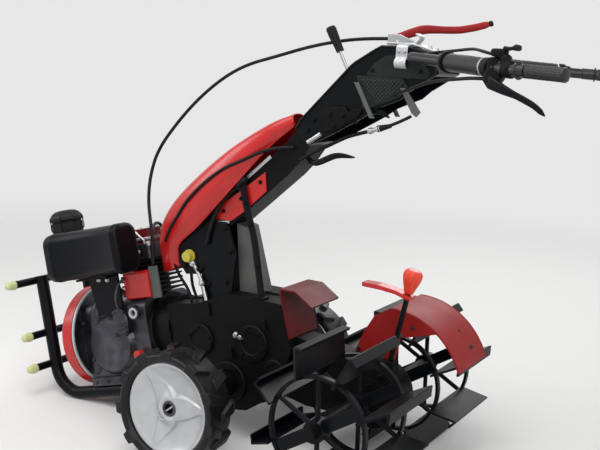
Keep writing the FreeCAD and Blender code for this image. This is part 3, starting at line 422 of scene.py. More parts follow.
# A profile of radius and height turned about an axis; a table over angle may change the radius
def turned(profile, middle, axis="y", count=64, swell=None):
    profile = np.asarray(profile, float)
    turn = np.linspace(0, 2 * math.pi, count, endpoint=False)
    radius = profile[:, :1] * (np.ones(count)[None] if swell is None else swell[None])
    flat = [radius * np.cos(turn), radius * np.sin(turn)]
    height = np.broadcast_to(profile[:, 1:2], radius.shape)
    order = {"x": (height, flat[0], flat[1]), "y": (flat[0], height, flat[1]), "z": (flat[0], flat[1], height)}
    return np.stack(order[axis], axis=-1) + np.asarray(middle, float)


# How far a regular many-sided outline lies from its middle at each angle, against its corners
def manySided(sides, count, first=0.5):
    turn = np.linspace(0, 2 * math.pi, count, endpoint=False)
    part = 2 * math.pi / sides
    return math.cos(part / 2) / np.cos((turn + first * part) % part - part / 2)


# Hex bolt heads on round washers, each standing at a point along a direction
def boltHeads(points, ahead, wide):
    ahead = np.asarray(ahead, float)
    ahead /= np.linalg.norm(ahead)
    side = np.cross(ahead, (0, 0, 1) if abs(ahead[2]) < 0.9 else (1, 0, 0))
    side /= np.linalg.norm(side)
    basis = np.stack([side, np.cross(ahead, side), ahead])
    washer = turned([(0, -1), (1.25, -1), (1.25, 0.22), (1.1, 0.3), (0, 0.3)], (0, 0, 0), "z", 24)
    head = turned([(0, 0.2), (1, 0.2), (1, 0.85), (0.86, 1.02), (0, 1.06)], (0, 0, 0), "z", 24, manySided(6, 24))
    return [("tube", np.asarray(point, float) + (grid * wide / 2) @ basis)
            for point in points for grid in (washer, head)]


def ringPoints(middle, radius, count, axis="y", first=0.0):
    turn = (np.arange(count) + first) * 2 * math.pi / count
    zero = np.zeros(count)
    flat = {"x": (zero, np.cos(turn), np.sin(turn)), "y": (np.cos(turn), zero, np.sin(turn)),
            "z": (np.cos(turn), np.sin(turn), zero)}[axis]
    return np.stack(flat, axis=1) * radius + np.asarray(middle, float)


def mirror(rows):
    return np.asarray(rows, float) * (1, -1, 1)


def smoothStep(low, high, value):
    t = np.clip((value - low) / (high - low), 0, 1)
    return t * t * (3 - 2 * t)


# Tyre: a rounded section swept about the axle. Each lug adds height along the section's normal where
# the point lies within half a lug's width of a line that leans back from the tyre's middle
tyre = {"middle": 300, "radius": 150, "lugHigh": 10.5, "lugWide": 23, "lugLean": 26, "count": 11, "edge": 4.2,
        "columns": 616, "rows": 78,
        "section": [(117, -20), (117, -33), (119.5, -38), (125, -42.5), (131, -44.4), (136.5, -42.4),
                    (139, -37), (139.4, -28), (139.4, -14), (139.4, 0)]}


def tyreGrid(look, side):
    half = np.asarray(look["section"], float)
    section = np.concatenate([half, half[-2::-1] * (1, -1)])
    section = np.concatenate([evenPath(smoothLine(section, 400), look["rows"]), [(117, 6), (117, -6)]])
    run = np.gradient(section, axis=0)
    run /= np.linalg.norm(run, axis=1, keepdims=True)
    out = np.stack([run[:, 1], -run[:, 0]], axis=1)
    radius, across = section[:, :1], section[:, 1:]
    turn = np.linspace(0, 2 * math.pi, look["columns"], endpoint=False)[None]
    pitch = 2 * math.pi * look["radius"] / look["count"]
    lean = np.abs(across) * math.tan(math.radians(look["lugLean"]))
    along = turn * look["radius"] + lean + np.where(across < 0, pitch / 2, 0)
    near = np.abs((along + pitch / 2) % pitch - pitch / 2)
    wide = look["lugWide"] / 2 + 0.1 * np.abs(across)
    mask = smoothStep(-look["edge"] / 2, look["edge"] / 2, wide - near) * smoothStep(0, 3, np.abs(across))
    fade = smoothStep(122, 136, radius) * (np.abs(across) < 45)
    high = look["lugHigh"] * mask * fade
    radius = radius + out[:, :1] * high
    across = np.clip(across + out[:, 1:] * high, -45.4, 45.4)
    return np.stack([radius * np.cos(turn), across + side * look["middle"] + 0 * turn, radius * np.sin(turn)],
                    axis=-1)


for side, name in ((1, "left"), (-1, "right")):
    addPiece(f"tyre_{name}_moulded", [("loop", tyreGrid(tyre, side))], f"{name}_wheel", "tyre",
             (f"tyre_{name}",), onAxle, crease=50)
print("tyres moulded")

# Pressed wheel: a closed section of radius and depth turned about the axle. Star arms, widest at the hub
# and running out at the rim, lift the dish by their height
wheel = {"face": 330, "dish": 21, "dome": 11, "wall": 3.5, "arms": 3, "armHigh": 6.5, "armWide": 24, "rim": 116.8,
         "band": 66, "columns": 288, "first": 0.14, "hub": 19.5, "bore": 12.5, "shaft": 15, "shaftEnd": 164}


def discGrid(look, side):
    steps = np.linspace(0, 1, 34)
    radius = 17 + steps * 91
    bowl = look["dish"] * np.sin(math.pi * np.clip(1 - steps, 0, 1)**0.8 * 0.62)
    depth = look["face"] - bowl + look["dome"] * smoothStep(0.42, 0.02, steps)
    front = np.stack([radius, depth, smoothStep(0, 0.12, steps) * smoothStep(1, 0.84, steps)], axis=1)
    rim, band = look["rim"], look["face"] - look["band"]
    lip = np.array([(111, look["face"] + 1.6, 0), (114.5, look["face"] + 1.5, 0), (rim, look["face"] - 0.8, 0),
                    (rim, look["face"] - 6, 0), (rim, band + 4, 0), (rim, band, 0), (rim - 1.6, band - 1.4, 0),
                    (rim - 3.2, band, 0), (rim - 3.4, band + 5, 0), (rim - 3.4, look["face"] - 9, 0)])
    back = front[::-1] - (0, look["wall"], 0)
    section = np.concatenate([front, lip, back])
    turn = np.linspace(0, 2 * math.pi, look["columns"], endpoint=False)[None]
    radius = section[:, :1]
    part = 2 * math.pi / look["arms"]
    off = np.abs((turn + look["first"]) % part - part / 2) * radius
    reach = np.clip((108 - radius) / 62, 0, 1.3)
    arm = smoothStep(0, 1, 0.5 + (look["armWide"] * reach**1.6 + 8 - off) / (4 + 6 * reach))
    depth = section[:, 1:2] + look["armHigh"] * arm * section[:, 2:] * np.minimum(0.55 + 0.45 * reach, 1)
    return np.stack([radius * np.cos(turn), side * depth, radius * np.sin(turn)], axis=-1)


for side, name in ((1, "left"), (-1, "right")):
    face = wheel["face"]
    hub = np.array([(0, face - 30), (wheel["bore"], face - 30), (wheel["bore"], face - 6.5), (14, face - 5),
                    (17.5, face - 5), (wheel["hub"], face - 7), (wheel["hub"], face - 62), (19, face - 64),
                    (wheel["shaft"], face - 64), (wheel["shaft"], wheel["shaftEnd"]), (0, wheel["shaftEnd"])])
    addPiece(f"wheel_{name}_pressed", [("loop", discGrid(wheel, side))], f"{name}_wheel", "silver_paint",
             (f"wheel_disc_{name}",), onAxle, crease=40)
    addPiece(f"hub_{name}", [("tube", turned(hub * (1, side), (0, 0, 0), "y", 48))], f"{name}_wheel",
             "grey_casting", (), onAxle, soften=0.6)
    pin = sweep(evenPath([(-19, side * (face - 10), 15), (19, side * (face - 10), -15)], 6), circle(2.8, 16))
    keeper = sweep(smoothLine([(24, face - 8, -4), (30, face - 4, -14), (24, face - 2, -26), (14, face - 3, -29),
                               (10, face - 5, -24), (16, face - 8, -14), (23, face - 12, -5)], 40)
                   * (1, side, 1), circle(1.6, 10), (0, 1, 0))
    addPiece(f"hub_pin_{name}", [("tube", pin), ("tube", keeper)], f"{name}_wheel", "bare_steel", (), onAxle)
print("wheels pressed")

# Muffler: a rounded rectangle carried along the chassis, drawn in towards both ends, with a crimped bead
# beside each end face; its elbow and flange reach the head
muffler = {"rear": 208, "front": 478, "inner": 96, "outer": 186, "base": 329, "top": 466, "round": 29,
           "ends": [(0, 17), (0.4, 9), (2.5, 4), (6, 1.4), (10, 0.4), (13, 0.2), (15, -1), (19, -1), (21, 0.6)]}


def mufflerGrid(look):
    ends = np.asarray(look["ends"], float)
    rear = ends + (look["rear"], 0)
    front = np.stack([look["front"] - ends[::-1, 0] * 1.6, ends[::-1, 1]], axis=1)
    stations = np.concatenate([rear, front])
    outline = roundedSquare(look["outer"] - look["inner"] - 2, look["top"] - look["base"] - 2, look["round"], 10)
    length = np.linalg.norm(outline, axis=1, keepdims=True)
    inset = outline / length
    rows = outline[None] - inset[None] * stations[:, 1, None, None]
    ahead = np.broadcast_to(stations[:, :1], rows.shape[:2])
    side = rows[..., 0] + (look["inner"] + look["outer"]) / 2
    up = rows[..., 1] + (look["base"] + look["top"]) / 2
    return np.stack([ahead, side, up], axis=-1)


elbow = sweep(roundPath([(268, 52, 376), (268, 70, 376), (268, 99, 384)], 12), circle(17, 32))
flange = turned([(0, 52), (1, 52), (1, 59), (0.94, 60), (0, 60)], (0, 0, 0), "y", 48)
flange = np.stack([flange[..., 0] * 27 + 268, flange[..., 1], flange[..., 2] * 19 + 376], axis=-1)
addPiece("muffler_box", [("tube", mufflerGrid(muffler)), ("tube", elbow), ("tube", flange)], "chassis",
         "black_paint", ("muffler",), crease=40)
addPiece("muffler_nuts", boltHeads([(248, 60, 376), (288, 60, 376)], (0, 1, 0), 11)
         + boltHeads([(339, 102, 314), (369, 102, 317)], (0, 1, 0), 10), "chassis", "bare_steel")

# Air cleaner: eight softened flats turned about its stem, with a groove under its lid, and its elbow
cleaner = {"at": (529, 26, 0), "radius": 46, "sides": 8,
           "rings": [(-30, 398), (-9, 398), (-3, 401), (0, 407), (0, 492), (-2.5, 494), (-2.5, 497), (2.5, 498),
                     (4, 500), (4, 507), (2, 511), (-6, 521), (-16, 527), (-30, 529.5), (-45.9, 529.5)]}
rings = np.asarray(cleaner["rings"], float) + (cleaner["radius"], 0)
soft = manySided(cleaner["sides"], 96)
elbow = sweep(roundPath([(320, 26, 376), (529, 26, 376), (529, 26, 402)], 24, 12), circle(15, 28), (0, 1, 0))
addPiece("cleaner_body", [("tube", turned(rings, cleaner["at"], "z", 96, soft * 0.8 + 0.2)), ("tube", elbow)],
         "chassis", "black_plastic", ("air_cleaner",), crease=28, soften=0.8)
clips = [("tube", sweep(smoothLine([(50.4, 0, 470), (53, 0, 478), (52, 0, 494), (53, 0, 503), (49, 0, 512), (42, 0, 518)],
                                   30) @ np.array([[math.cos(turn), math.sin(turn), 0],
                                                   [-math.sin(turn), math.cos(turn), 0], [0, 0, 1]])
                        * (0.93, 0.93, 1) + (529, 26, 0), circle(1.7, 10), (math.sin(turn), -math.cos(turn), 0)))
         for turn in (0.4, 2.0, 3.55, 5.1)]
addPiece("cleaner_clips", clips, "chassis", "black_paint")
print("muffler and air cleaner made")

# Hood: a folded shell. Stations along it hold X and Z of the ridge, depth, half width and the lip's lead;
# across it the fold runs from one lip over a creased shoulder and a flat crown to the other lip
hood = {"stations": [(-126, 875, 26, 30, -10), (-58, 843, 60, 62, -14), (60, 765, 92, 84, -40),
                     (188, 655, 96, 84, -64), (258, 572, 74, 70, -64), (284, 495, 34, 58, -78),
                     (268, 398, -30, 50, -64)],
        "fold": [(0.86, 1), (0.93, 0.86), (0.995, 0.70), (1, 0.63), (0.985, 0.5), (0.93, 0.32), (0.83, 0.17),
                 (0.64, 0.07), (0.38, 0.02), (0.16, 0), (0, 0)], "rows": 90, "columns": 72, "wall": 3}


def hoodGrid(look):
    stations = smoothLine(look["stations"], look["rows"])
    half = np.asarray(look["fold"], float)
    fold = smoothLine(np.concatenate([half, half[-2::-1] * (-1, 1)]), look["columns"] + 1)
    x, z, depth, wide, lead = (stations[:, column, None] for column in range(5))
    inset = 1 - 1.6 / wide
    return np.stack([x + lead * fold[None, :, 1], wide * inset * fold[None, :, 0], z - 1.5 - depth * fold[None, :, 1]],
                    axis=-1)


addPiece("hood_shell", [("sheet", hoodGrid(hood))], "chassis", "red_paint", ("hood",), onMachine, crease=60,
         wall=hood["wall"])
rim = hoodGrid(hood)
lips = [("tube", sweep(rim[1:-1, column], circle(2.6, 12), (0, 1, 0))) for column in (0, -1)]
addPiece("hood_lips", lips, "chassis", "red_paint", (), onMachine)
stay = sweep(evenPath([(28, 0, 662), (28, 0, 780)], 6), roundedSquare(20, 6, 2, 4), (0, 1, 0))
addPiece("hood_stay", [("tube", stay)], "chassis", "black_paint", (), onMachine)
print("hood shell made")

# Cables held all the way: smooth splines through the source's own route points, in millimetres
cables = {
    "loop_cable": ([(-351.9, -47, 1080), (-297, -46, 1078), (-226, -35, 1069), (-130, -30, 1048), (-39, -20, 1018),
                    (49, -10, 991), (121, 0, 948), (193, 10, 885), (256, 20, 811), (305, 30, 737), (318, 42, 665),
                    (310, 56, 600), (288, 70, 545), (266, 83, 490), (258, 89, 432.3)], 4.5, "cable_black"),
    "hood_cable": ([(-150, 50.7, 790), (-112, 61, 787), (-65, 71, 773), (-19, 78, 748), (40, 84, 721),
                    (100, 86, 676), (156, 85, 621), (188, 80, 574), (223, 71, 530), (240, 62, 496)], 4.5,
                   "cable_black"),
    "clutch_hose": ([(1, 52.4, 684), (55, 58, 640), (92, 60.6, 565), (104, 60.3, 505)], 6, "cable_black"),
    "perch_cable": ([(-730.6, 254, 1000), (-708, 254, 1000), (-650, 216, 994), (-570, 166, 985),
                     (-497, 118, 962), (-439, 72.3, 945)], 4, "cable_black"),
    "adjuster_cable": ([(-402, 65.3, 861.1), (-440, 66.7, 872.8), (-484, 71, 897)], 4, "cable_black"),
    "throttle_cable": ([(-510, 64.2, 1038), (-510, 78, 1038), (-530, 92, 1048), (-580, 106, 1054),
                        (-632, 150, 1058), (-690, 212, 1062), (-734, 274, 1056), (-758.9, 276, 1051)], 3.5,
                       "cable_black"),
}


def addCable(node, route, radius, slot):
    points = onMachine(route)
    data = bpy.data.curves.new(f"{node}_run", "CURVE")
    data.dimensions = "3D"
    data.bevel_depth = radius / 1000
    data.bevel_resolution = 4
    data.use_fill_caps = True
    data.resolution_u = 14
    spline = data.splines.new("NURBS")
    spline.points.add(len(points) - 1)
    spline.points.foreach_set("co", np.concatenate([points, np.ones((len(points), 1))], axis=1).reshape(-1))
    spline.order_u = 3
    spline.use_endpoint_u = True
    item = bpy.data.objects.new(f"{node}_run", data)
    scene.collection.objects.link(item)
    data.materials.append(materials[slot])
    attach(item, "chassis")
    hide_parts(node)


for node, (route, radius, slot) in cables.items():
    addCable(node, route, radius, slot)
print("cables run")

# Handle arms: a tube along the source's own corners. The sleeve part is thicker and knurled: its height
# is the product of two spirals that cross
arm = {"corners": [(-486, 63.6, 1036), (-486, 96, 1036), (-600, 152, 1030), (-742, 258, 1024), (-815, 297, 1021.5),
                   (-838, 303.6, 1021)], "radius": 13, "sleeve": (-612, -732), "sleeveRadius": 20.5,
       "knurl": 0.9, "around": 18, "rows": 400, "columns": 90}


def armGrid(look):
    path = evenPath(roundPath(look["corners"], 26), look["rows"])
    x = path[:, 0]
    near, far = look["sleeve"]
    on = smoothStep(near + 1.5, near - 1.5, x) * smoothStep(far - 1.5, far + 1.5, x)
    rim = smoothStep(near + 1.5, near - 6, x) * smoothStep(far - 1.5, far + 6, x)
    size = look["radius"] + (look["sleeveRadius"] - 1.2 - look["radius"]) * on
    turn = np.linspace(0, 2 * math.pi, look["columns"], endpoint=False)[None]
    along = np.linspace(0, 1, look["rows"])[:, None] * 150
    knurl = np.abs(np.sin(turn * look["around"] / 2 + along) * np.sin(turn * look["around"] / 2 - along))
    high = size[:, None] + look["knurl"] * (1 - knurl) * rim[:, None]
    grid = sweep(path, circle(1, look["columns"]))
    return path[:, None] + (grid - path[:, None]) * high[..., None]


# Grip: a rubber sleeve with a flange near its root, fine ribs running along it and a flat end
grip = {"from": (-792, 284, 1022.6), "to": (-931, 330.6, 1018), "radius": 14.2, "ribs": 27, "ribHigh": 0.4,
        "flange": 5, "rows": 170, "columns": 108}


def gripGrid(look):
    path = evenPath([look["from"], look["to"]], look["rows"])
    s = np.linspace(0, 1, look["rows"])[:, None]
    turn = np.linspace(0, 2 * math.pi, look["columns"], endpoint=False)[None]
    rib = look["ribHigh"] * np.cos(turn * look["ribs"]) * smoothStep(0.25, 0.28, s) * smoothStep(0.97, 0.95, s)
    flange = look["flange"] * smoothStep(0.20, 0.212, s) * smoothStep(0.235, 0.222, s)
    close = np.sqrt(np.clip(1 - np.clip((s - 0.985) / 0.015, 0, 1)**2, 0.2, 1))
    end = smoothStep(0.93, 0.95, s) * 0.6
    grid = sweep(path, circle(1, look["columns"]))
    return path[:, None] + (grid - path[:, None]) * ((look["radius"] + rib + flange + end) * close)[..., None]


for side, flip in (("left", 1), ("right", -1)):
    addPiece(f"arm_{side}_tube", [("tube", armGrid(arm) * (1, flip, 1))], "chassis", "black_paint",
             (f"handle_arm_{side}",), onMachine)
addPiece("grip_sleeves", [("tube", gripGrid(grip)), ("tube", gripGrid(grip) * (1, -1, 1))], "chassis", "grip_rubber",
         ("grips",), onMachine)

# Perch castings under the arms with their clamp bolts, the sleeve's collars and the throttle's body
perch = {"path": [(-764, 265, 1046), (-764, 266, 1020), (-758, 272, 1000), (-752, 277, 984)], "wide": 44, "deep": 36,
         "shares": ([0, 0.04, 0.3, 0.6, 0.9, 1], [0.55, 0.94, 1, 0.94, 0.8, 0.3])}
s = np.linspace(0, 1, 60)
casting = sweep(evenPath(smoothLine(perch["path"], 60), 60), roundedSquare(perch["wide"], perch["deep"], 12, 6),
                (0, 1, 0), np.interp(s, *perch["shares"]))
small = sweep(evenPath([(-752, -264, 1040), (-752, -266, 996)], 60), roundedSquare(26, 34, 10, 6), (0, 1, 0),
              np.interp(s, *perch["shares"]))
addPiece("perch_castings", [("tube", casting), ("tube", small)], "chassis", "black_casting", ("lever_perches",),
         onMachine)
addPiece("perch_bolts", boltHeads([(-758, 284, 1024), (-776, 284, 1034), (-776, 284, 1016)], (0, 1, 0), 6),
         "chassis", "grey_casting", (), onMachine)
rings = [sweep(evenPath([(x + step, y - step * lean, z), (x - step, y + step * lean, z)], 6), circle(radius, 40),
               (0, 0, 1), np.array([0.93, 1, 1, 1, 1, 0.93]))
         for x, y, z, radius, step, lean in ((-606, 156.5, 1029.8, 24.5, 3.5, 0.75), (-743, 258.8, 1024, 20.7, 8, 0.7))]
addPiece("sleeve_collars", [("tube", grid * (1, flip, 1)) for grid in rings for flip in (1, -1)], "chassis",
         "black_plastic", (), onMachine)
bright = sweep(evenPath([(-732, 250.6, 1024.4), (-735, 252.8, 1024.3)], 4), circle(20.9, 40), (0, 0, 1))
addPiece("sleeve_ends", [("tube", bright), ("tube", bright * (1, -1, 1))], "chassis", "silver_paint", (), onMachine)
s = np.linspace(-1, 1, 24)
ease = np.sqrt(np.clip(1 - np.abs(s)**5, 0.05, 1))
body = sweep(evenPath([(-754, 272, 1055), (-790, 282, 1055)], 24), roundedSquare(26, 17, 5, 6), (0, 0, 1), ease)
post = sweep(evenPath([(-786, 280, 1052), (-795, 284, 1026)], 24), roundedSquare(20, 24, 6, 6), (0, 1, 0), ease)
band = sweep(evenPath([(-784, 279, 1022.8), (-812, 293, 1021.8)], 24), circle(18.5, 36), (0, 0, 1), ease)
addPiece("throttle_body", [("tube", body), ("tube", post), ("tube", band)], "chassis", "black_casting", (), onMachine)

# Levers: blades along the source's own corners, their size following the shares along each
levers = {
    "brake_lever": {"corners": [(-750, 274, 1000), (-756, 282, 994), (-794, 296, 980), (-826, 304, 970),
                                (-866, 314, 954), (-891, 322, 936)],
                    "wide": 15, "high": 27, "slot": "black_paint", "up": (0, 0, 1),
                    "shares": ([0, 0.1, 0.3, 0.5, 0.75, 0.92, 1], [0.9, 1, 0.78, 0.54, 0.5, 0.44, 0.12])},
    "clutch_lever": {"corners": [(-366, -50, 1083), (-366, -68, 1083), (-394, -90, 1098), (-424, -110, 1110),
                                 (-464, -135, 1111), (-498, -155, 1113), (-537, -170, 1122), (-576, -187, 1136)],
                     "wide": 15, "high": 20, "slot": "red_paint", "up": (0, 0, 1),
                     "shares": ([0, 0.3, 0.5, 0.75, 0.93, 1], [0.95, 1.2, 0.95, 0.95, 0.9, 0.4])},
    "throttle_lever": {"corners": [(-782, 281, 1064), (-796, 285, 1064), (-818, 292, 1067)],
                       "wide": 16, "high": 9, "slot": "black_plastic", "up": (0, 0, 1),
                       "shares": ([0, 0.1, 0.45, 0.6, 0.9, 1], [0.6, 1.1, 0.8, 0.8, 1.5, 1.1])},
    "gear_lever": {"corners": [(-279, -10, 976.1), (-264, -10, 990.4), (-236, -10, 1042)],
                   "wide": 10, "high": 10, "slot": "bare_steel", "up": (0, 1, 0), "shares": ([0, 1], [1, 1])},
    "gear_grip": {"corners": [(-237, -10, 1041), (-220, -10, 1071), (-203.6, -10, 1101.7)],
                  "wide": 25, "high": 25, "slot": "grip_rubber", "up": (0, 1, 0),
                  "shares": ([0, 0.3, 0.55, 0.7, 0.9, 0.98, 1], [0.8, 0.86, 0.98, 1.02, 1.04, 0.9, 0.4])},
}
for node, look in levers.items():
    path = evenPath(roundPath(look["corners"], 14), 90)
    s = np.linspace(0, 1, 90)
    profile = roundedSquare(look["wide"], look["high"], 0.45 * min(look["wide"], look["high"]), 6)
    addPiece(f"{node}_blade", [("tube", sweep(path, profile, look["up"], np.interp(s, *look["shares"])))], "chassis",
             look["slot"], (node,), onMachine)
tip = sweep(evenPath([(-568, -184, 1132.6), (-578, -188, 1136.6)], 20), roundedSquare(15, 15, 6, 6), (0, 0, 1),
            np.sqrt(np.clip(1 - np.linspace(-0.9, 0.97, 20)**4, 0.05, 1)))
addPiece("clutch_tip", [("tube", tip)], "chassis", "black_plastic", (), onMachine)
print("handles, grips and levers made")

# Caps of the cross bars: a soft plug with a collar and a tapering round end
caps = {"radius": 14, "long": 26, "at": 628,
        "profile": [(0, -2), (0.8, -2), (0.97, -1.6), (1, 0), (1, 4), (0.93, 6), (0.86, 12), (0.78, 19), (0.66, 23),
                    (0.4, 25.4), (0, 26)]}
profile = np.asarray(caps["profile"], float) * (caps["radius"], 1)
grids = [("tube", turned(profile * (1, side) + (0, side * half), (caps["at"], 0, up), "y", 32))
         for up, half in ((340, 168), (184, 142), (92, 142)) for side in (1, -1)]
addPiece("bar_caps", grids, "chassis", "pale_cap", ("bumper_caps",))

# Recoil cover: its profile of radius and depth turned about the crank, with louvres pressed into the face
recoil = {"from": 492, "up": 152, "louvres": 18,
          "profile": [(0, 0), (143.6, 0), (143.6, -26), (145.6, -26), (146, -24), (145.6, 8), (142, 12), (134, 14),
                      (112, 33), (106, 36), (98, 38), (97, 42), (95.5, 56), (92, 59.5), (86, 60), (72, 59.6),
                      (60, 59.2), (46, 59), (30, 59), (0, 59)]}
profile = evenPath(recoil["profile"], 190)
grid = turned(profile, (recoil["from"], 0, recoil["up"]), "x", 216)
turn = np.linspace(0, 2 * math.pi, 216, endpoint=False)[None]
slots = smoothStep(0.25, 0.6, np.cos(turn * recoil["louvres"]))
onFace = smoothStep(40, 46, profile[:, :1]) * smoothStep(84, 78, profile[:, :1]) * (profile[:, 1:] > 50)
grid[..., 0] -= 4 * slots * onFace
addPiece("recoil_shell", [("tube", grid)], "chassis", "red_paint", ("recoil_cover",), crease=40)
band = turned([(139, 459), (143, 459), (144.6, 460), (144.6, 464.5), (143, 465.5), (139, 465.5)], (0, 0, 152), "x", 128)
addPiece("housing_ring", [("loop", band)], "chassis", "silver_paint")
handle = sweep(evenPath([(553, -30, 200), (553, 30, 200)], 24), roundedSquare(11, 15, 5, 5), (0, 0, 1),
               np.sqrt(np.clip(1 - np.linspace(-0.98, 0.98, 24)**6, 0.02, 1)))
addPiece("pull_handle", [("tube", handle)], "chassis", "black_plastic")

# Crankcase fittings: screws round the timing covers and sump, the bored silver boss and the nuts on the head
addPiece("timing_screws", boltHeads(ringPoints((362, 97, 130), 78.5, 9, "y", 0.3), (0, 1, 0), 9)
         + boltHeads(ringPoints((362, -97, 130), 78.5, 9, "y", 0.3), (0, -1, 0), 9)
         + boltHeads([(u, sign * 104, 30) for u in (262, 330, 398, 440) for sign in (1, -1)], (0, 1, 0), 9),
         "chassis", "grey_casting")
boss = turned([(8.6, 104), (8.6, 107.6), (9.4, 108.6), (14.4, 108.6), (15.4, 107.4), (15.4, 96), (9, 96)],
              (262, 0, 214), "y", 40)
addPiece("pump_ring", [("loop", boss)], "chassis", "silver_paint")
addPiece("head_nuts", boltHeads([(u, y, 396) for u in (222, 314) for y in (-44, 44)], (0, 0, 1), 13)
         + boltHeads([(u, y, 438) for u in (238, 298) for y in (-20, 20)], (0, 0, 1), 9), "chassis", "bare_steel")
print("engine fittings made")

# Rotor case screws
addPiece("case_screws", boltHeads(ringPoints((0, 46, 0), 66, 8, "y", 0.5), (0, 1, 0), 10)
         + boltHeads(ringPoints((0, -46, 0), 66, 8, "y", 0.5), (0, -1, 0), 10)
         + boltHeads(ringPoints((0, 53, 0), 36, 5, "y", 0.2), (0, 1, 0), 8), "chassis", "black_casting", (), onRotor)

# Knob: a fluted profile turned about the leaning post
knob = {"behind": 30, "up": 90, "lean": 12, "from": 186, "flutes": 8,
        "profile": [(0, 0), (11, 0), (12.5, 1.5), (14, 6), (18.5, 22), (23, 38), (24, 46), (23, 54), (19.5, 60),
                    (12, 62), (0, 62)]}


def onPost(rows):
    lean = math.radians(knob["lean"])
    x, y, z = np.moveaxis(np.asarray(rows, float), -1, 0)
    return onRotor(np.stack([x * math.cos(lean) - z * math.sin(lean) - knob["behind"], y,
                             z * math.cos(lean) + x * math.sin(lean) + knob["up"]], axis=-1))


profile = evenPath(knob["profile"], 60)
turn = np.linspace(0, 2 * math.pi, 96, endpoint=False)
grid = turned(profile, (0, 0, knob["from"]), "z", 96)
flute = 1 - 0.07 * np.cos(turn * knob["flutes"])[None] * smoothStep(8, 24, profile[:, 1:]) * smoothStep(61, 52, profile[:, 1:]) - 0.03
grid[..., :2] *= flute[..., None]
addPiece("post_knob", [("tube", grid)], "chassis", "orange_knob", ("depth_knob",), onPost)
print("rear fittings made")

# A closed line through corners, each rounded by a parabola
def closedPath(corners, reach, steps=7):
    corners = np.asarray(corners, float)
    back, ahead = np.roll(corners, 1, axis=0) - corners, np.roll(corners, -1, axis=0) - corners
    backLong = np.linalg.norm(back, axis=1, keepdims=True)
    aheadLong = np.linalg.norm(ahead, axis=1, keepdims=True)
    cut = np.minimum(reach, 0.48 * np.minimum(backLong, aheadLong))
    enter = (corners + back / backLong * cut)[:, None]
    leave = (corners + ahead / aheadLong * cut)[:, None]
    t = np.linspace(0, 1, steps)[None, :, None]
    return ((1 - t)**2 * enter + 2 * t * (1 - t) * corners[:, None] + t**2 * leave).reshape(-1, corners.shape[1])


# A flat plate with eased edges: its outline in X and Z stands from one Y to another and draws in by the
# ease at its outer face
def plate(outline, low, high, reach=6, ease=1.2):
    line = closedPath(outline, reach)
    middle = line.mean(axis=0)
    arm = line - middle
    drawn = middle + arm * (1 - ease / np.linalg.norm(arm, axis=1, keepdims=True))
    step = ease * np.sign(high - low)
    rows = [(line, low), (line, high - step), (drawn, high)]
    return np.stack([np.stack([flat[:, 0], np.full(len(flat), y), flat[:, 1]], axis=1) for flat, y in rows])


# The same for both sides of the machine
def plates(outline, low, high, reach=6, ease=1.2):
    grid = plate(outline, low, high, reach, ease)
    return [("tube", grid), ("tube", grid * (1, -1, 1))]


# A profile carried round a closed path
def closedSweep(path, profile, up):
    path = np.asarray(path, float)
    ahead = np.roll(path, -1, axis=0) - np.roll(path, 1, axis=0)
    ahead /= np.linalg.norm(ahead, axis=1, keepdims=True)
    side = np.cross(np.asarray(up, float), ahead)
    side /= np.linalg.norm(side, axis=1, keepdims=True)
    above = np.cross(ahead, side)
    return path[:, None] + side[:, None] * profile[None, :, :1] + above[:, None] * profile[None, :, 1:]


def onSide(outline, side):
    outline = np.asarray(outline, float)
    return np.stack([outline[:, 0], np.full(len(outline), float(side)), outline[:, 1]], axis=1)


# Column head: pressed flange round its plates, upper panel, mesh panel, clip, lever mount and latch block
head = {"flange": [(-163, 842), (-181, 870), (-317, 1013), (-374, 1049), (-392, 1058.5), (-467, 1059.5), (-523, 1046),
                   (-544, 1003), (-475, 958)],
        "panel": [(-352, 985), (-372, 1014), (-404, 1037), (-468, 1040), (-505, 1026), (-528, 1000), (-520, 985)],
        "block": [(-238, 888), (-262, 902), (-306, 906), (-322, 880), (-292, 850), (-250, 838)],
        "mesh": [(-338, 977), (-461, 980), (-448, 951), (-386, 914)], "half": 64}
flange = [("tube", sweep(roundPath(onSide(head["flange"], side * 65.5), 12), roundedSquare(3.4, 6, 1.4, 4), (0, 1, 0)))
          for side in (1, -1)]
addPiece("head_flange", flange, "chassis", "black_panel", (), onMachine)
addPiece("head_upper_panel", plates(head["panel"], head["half"] - 1, head["half"] + 3, 10, 2.4), "chassis",
         "black_panel", (), onMachine)
addPiece("latch_block", plates(head["block"], head["half"] - 1, head["half"] + 9, 9, 2)
         + [("tube", plate([(-236, 846), (-252, 838), (-300, 858), (-340, 884), (-352, 902), (-330, 905), (-306, 890)],
                           64, 71, 6, 1.5))], "chassis", "black_casting", (), onMachine)
addPiece("latch_bolts", boltHeads([(-262, 73, 884), (-300, 73, 884), (-276, 73, 858)], (0, 1, 0), 11)
         + boltHeads([(-372, 67, 1000), (-500, 67, 1004)], (0, 1, 0), 8), "chassis", "black_casting", (), onMachine)

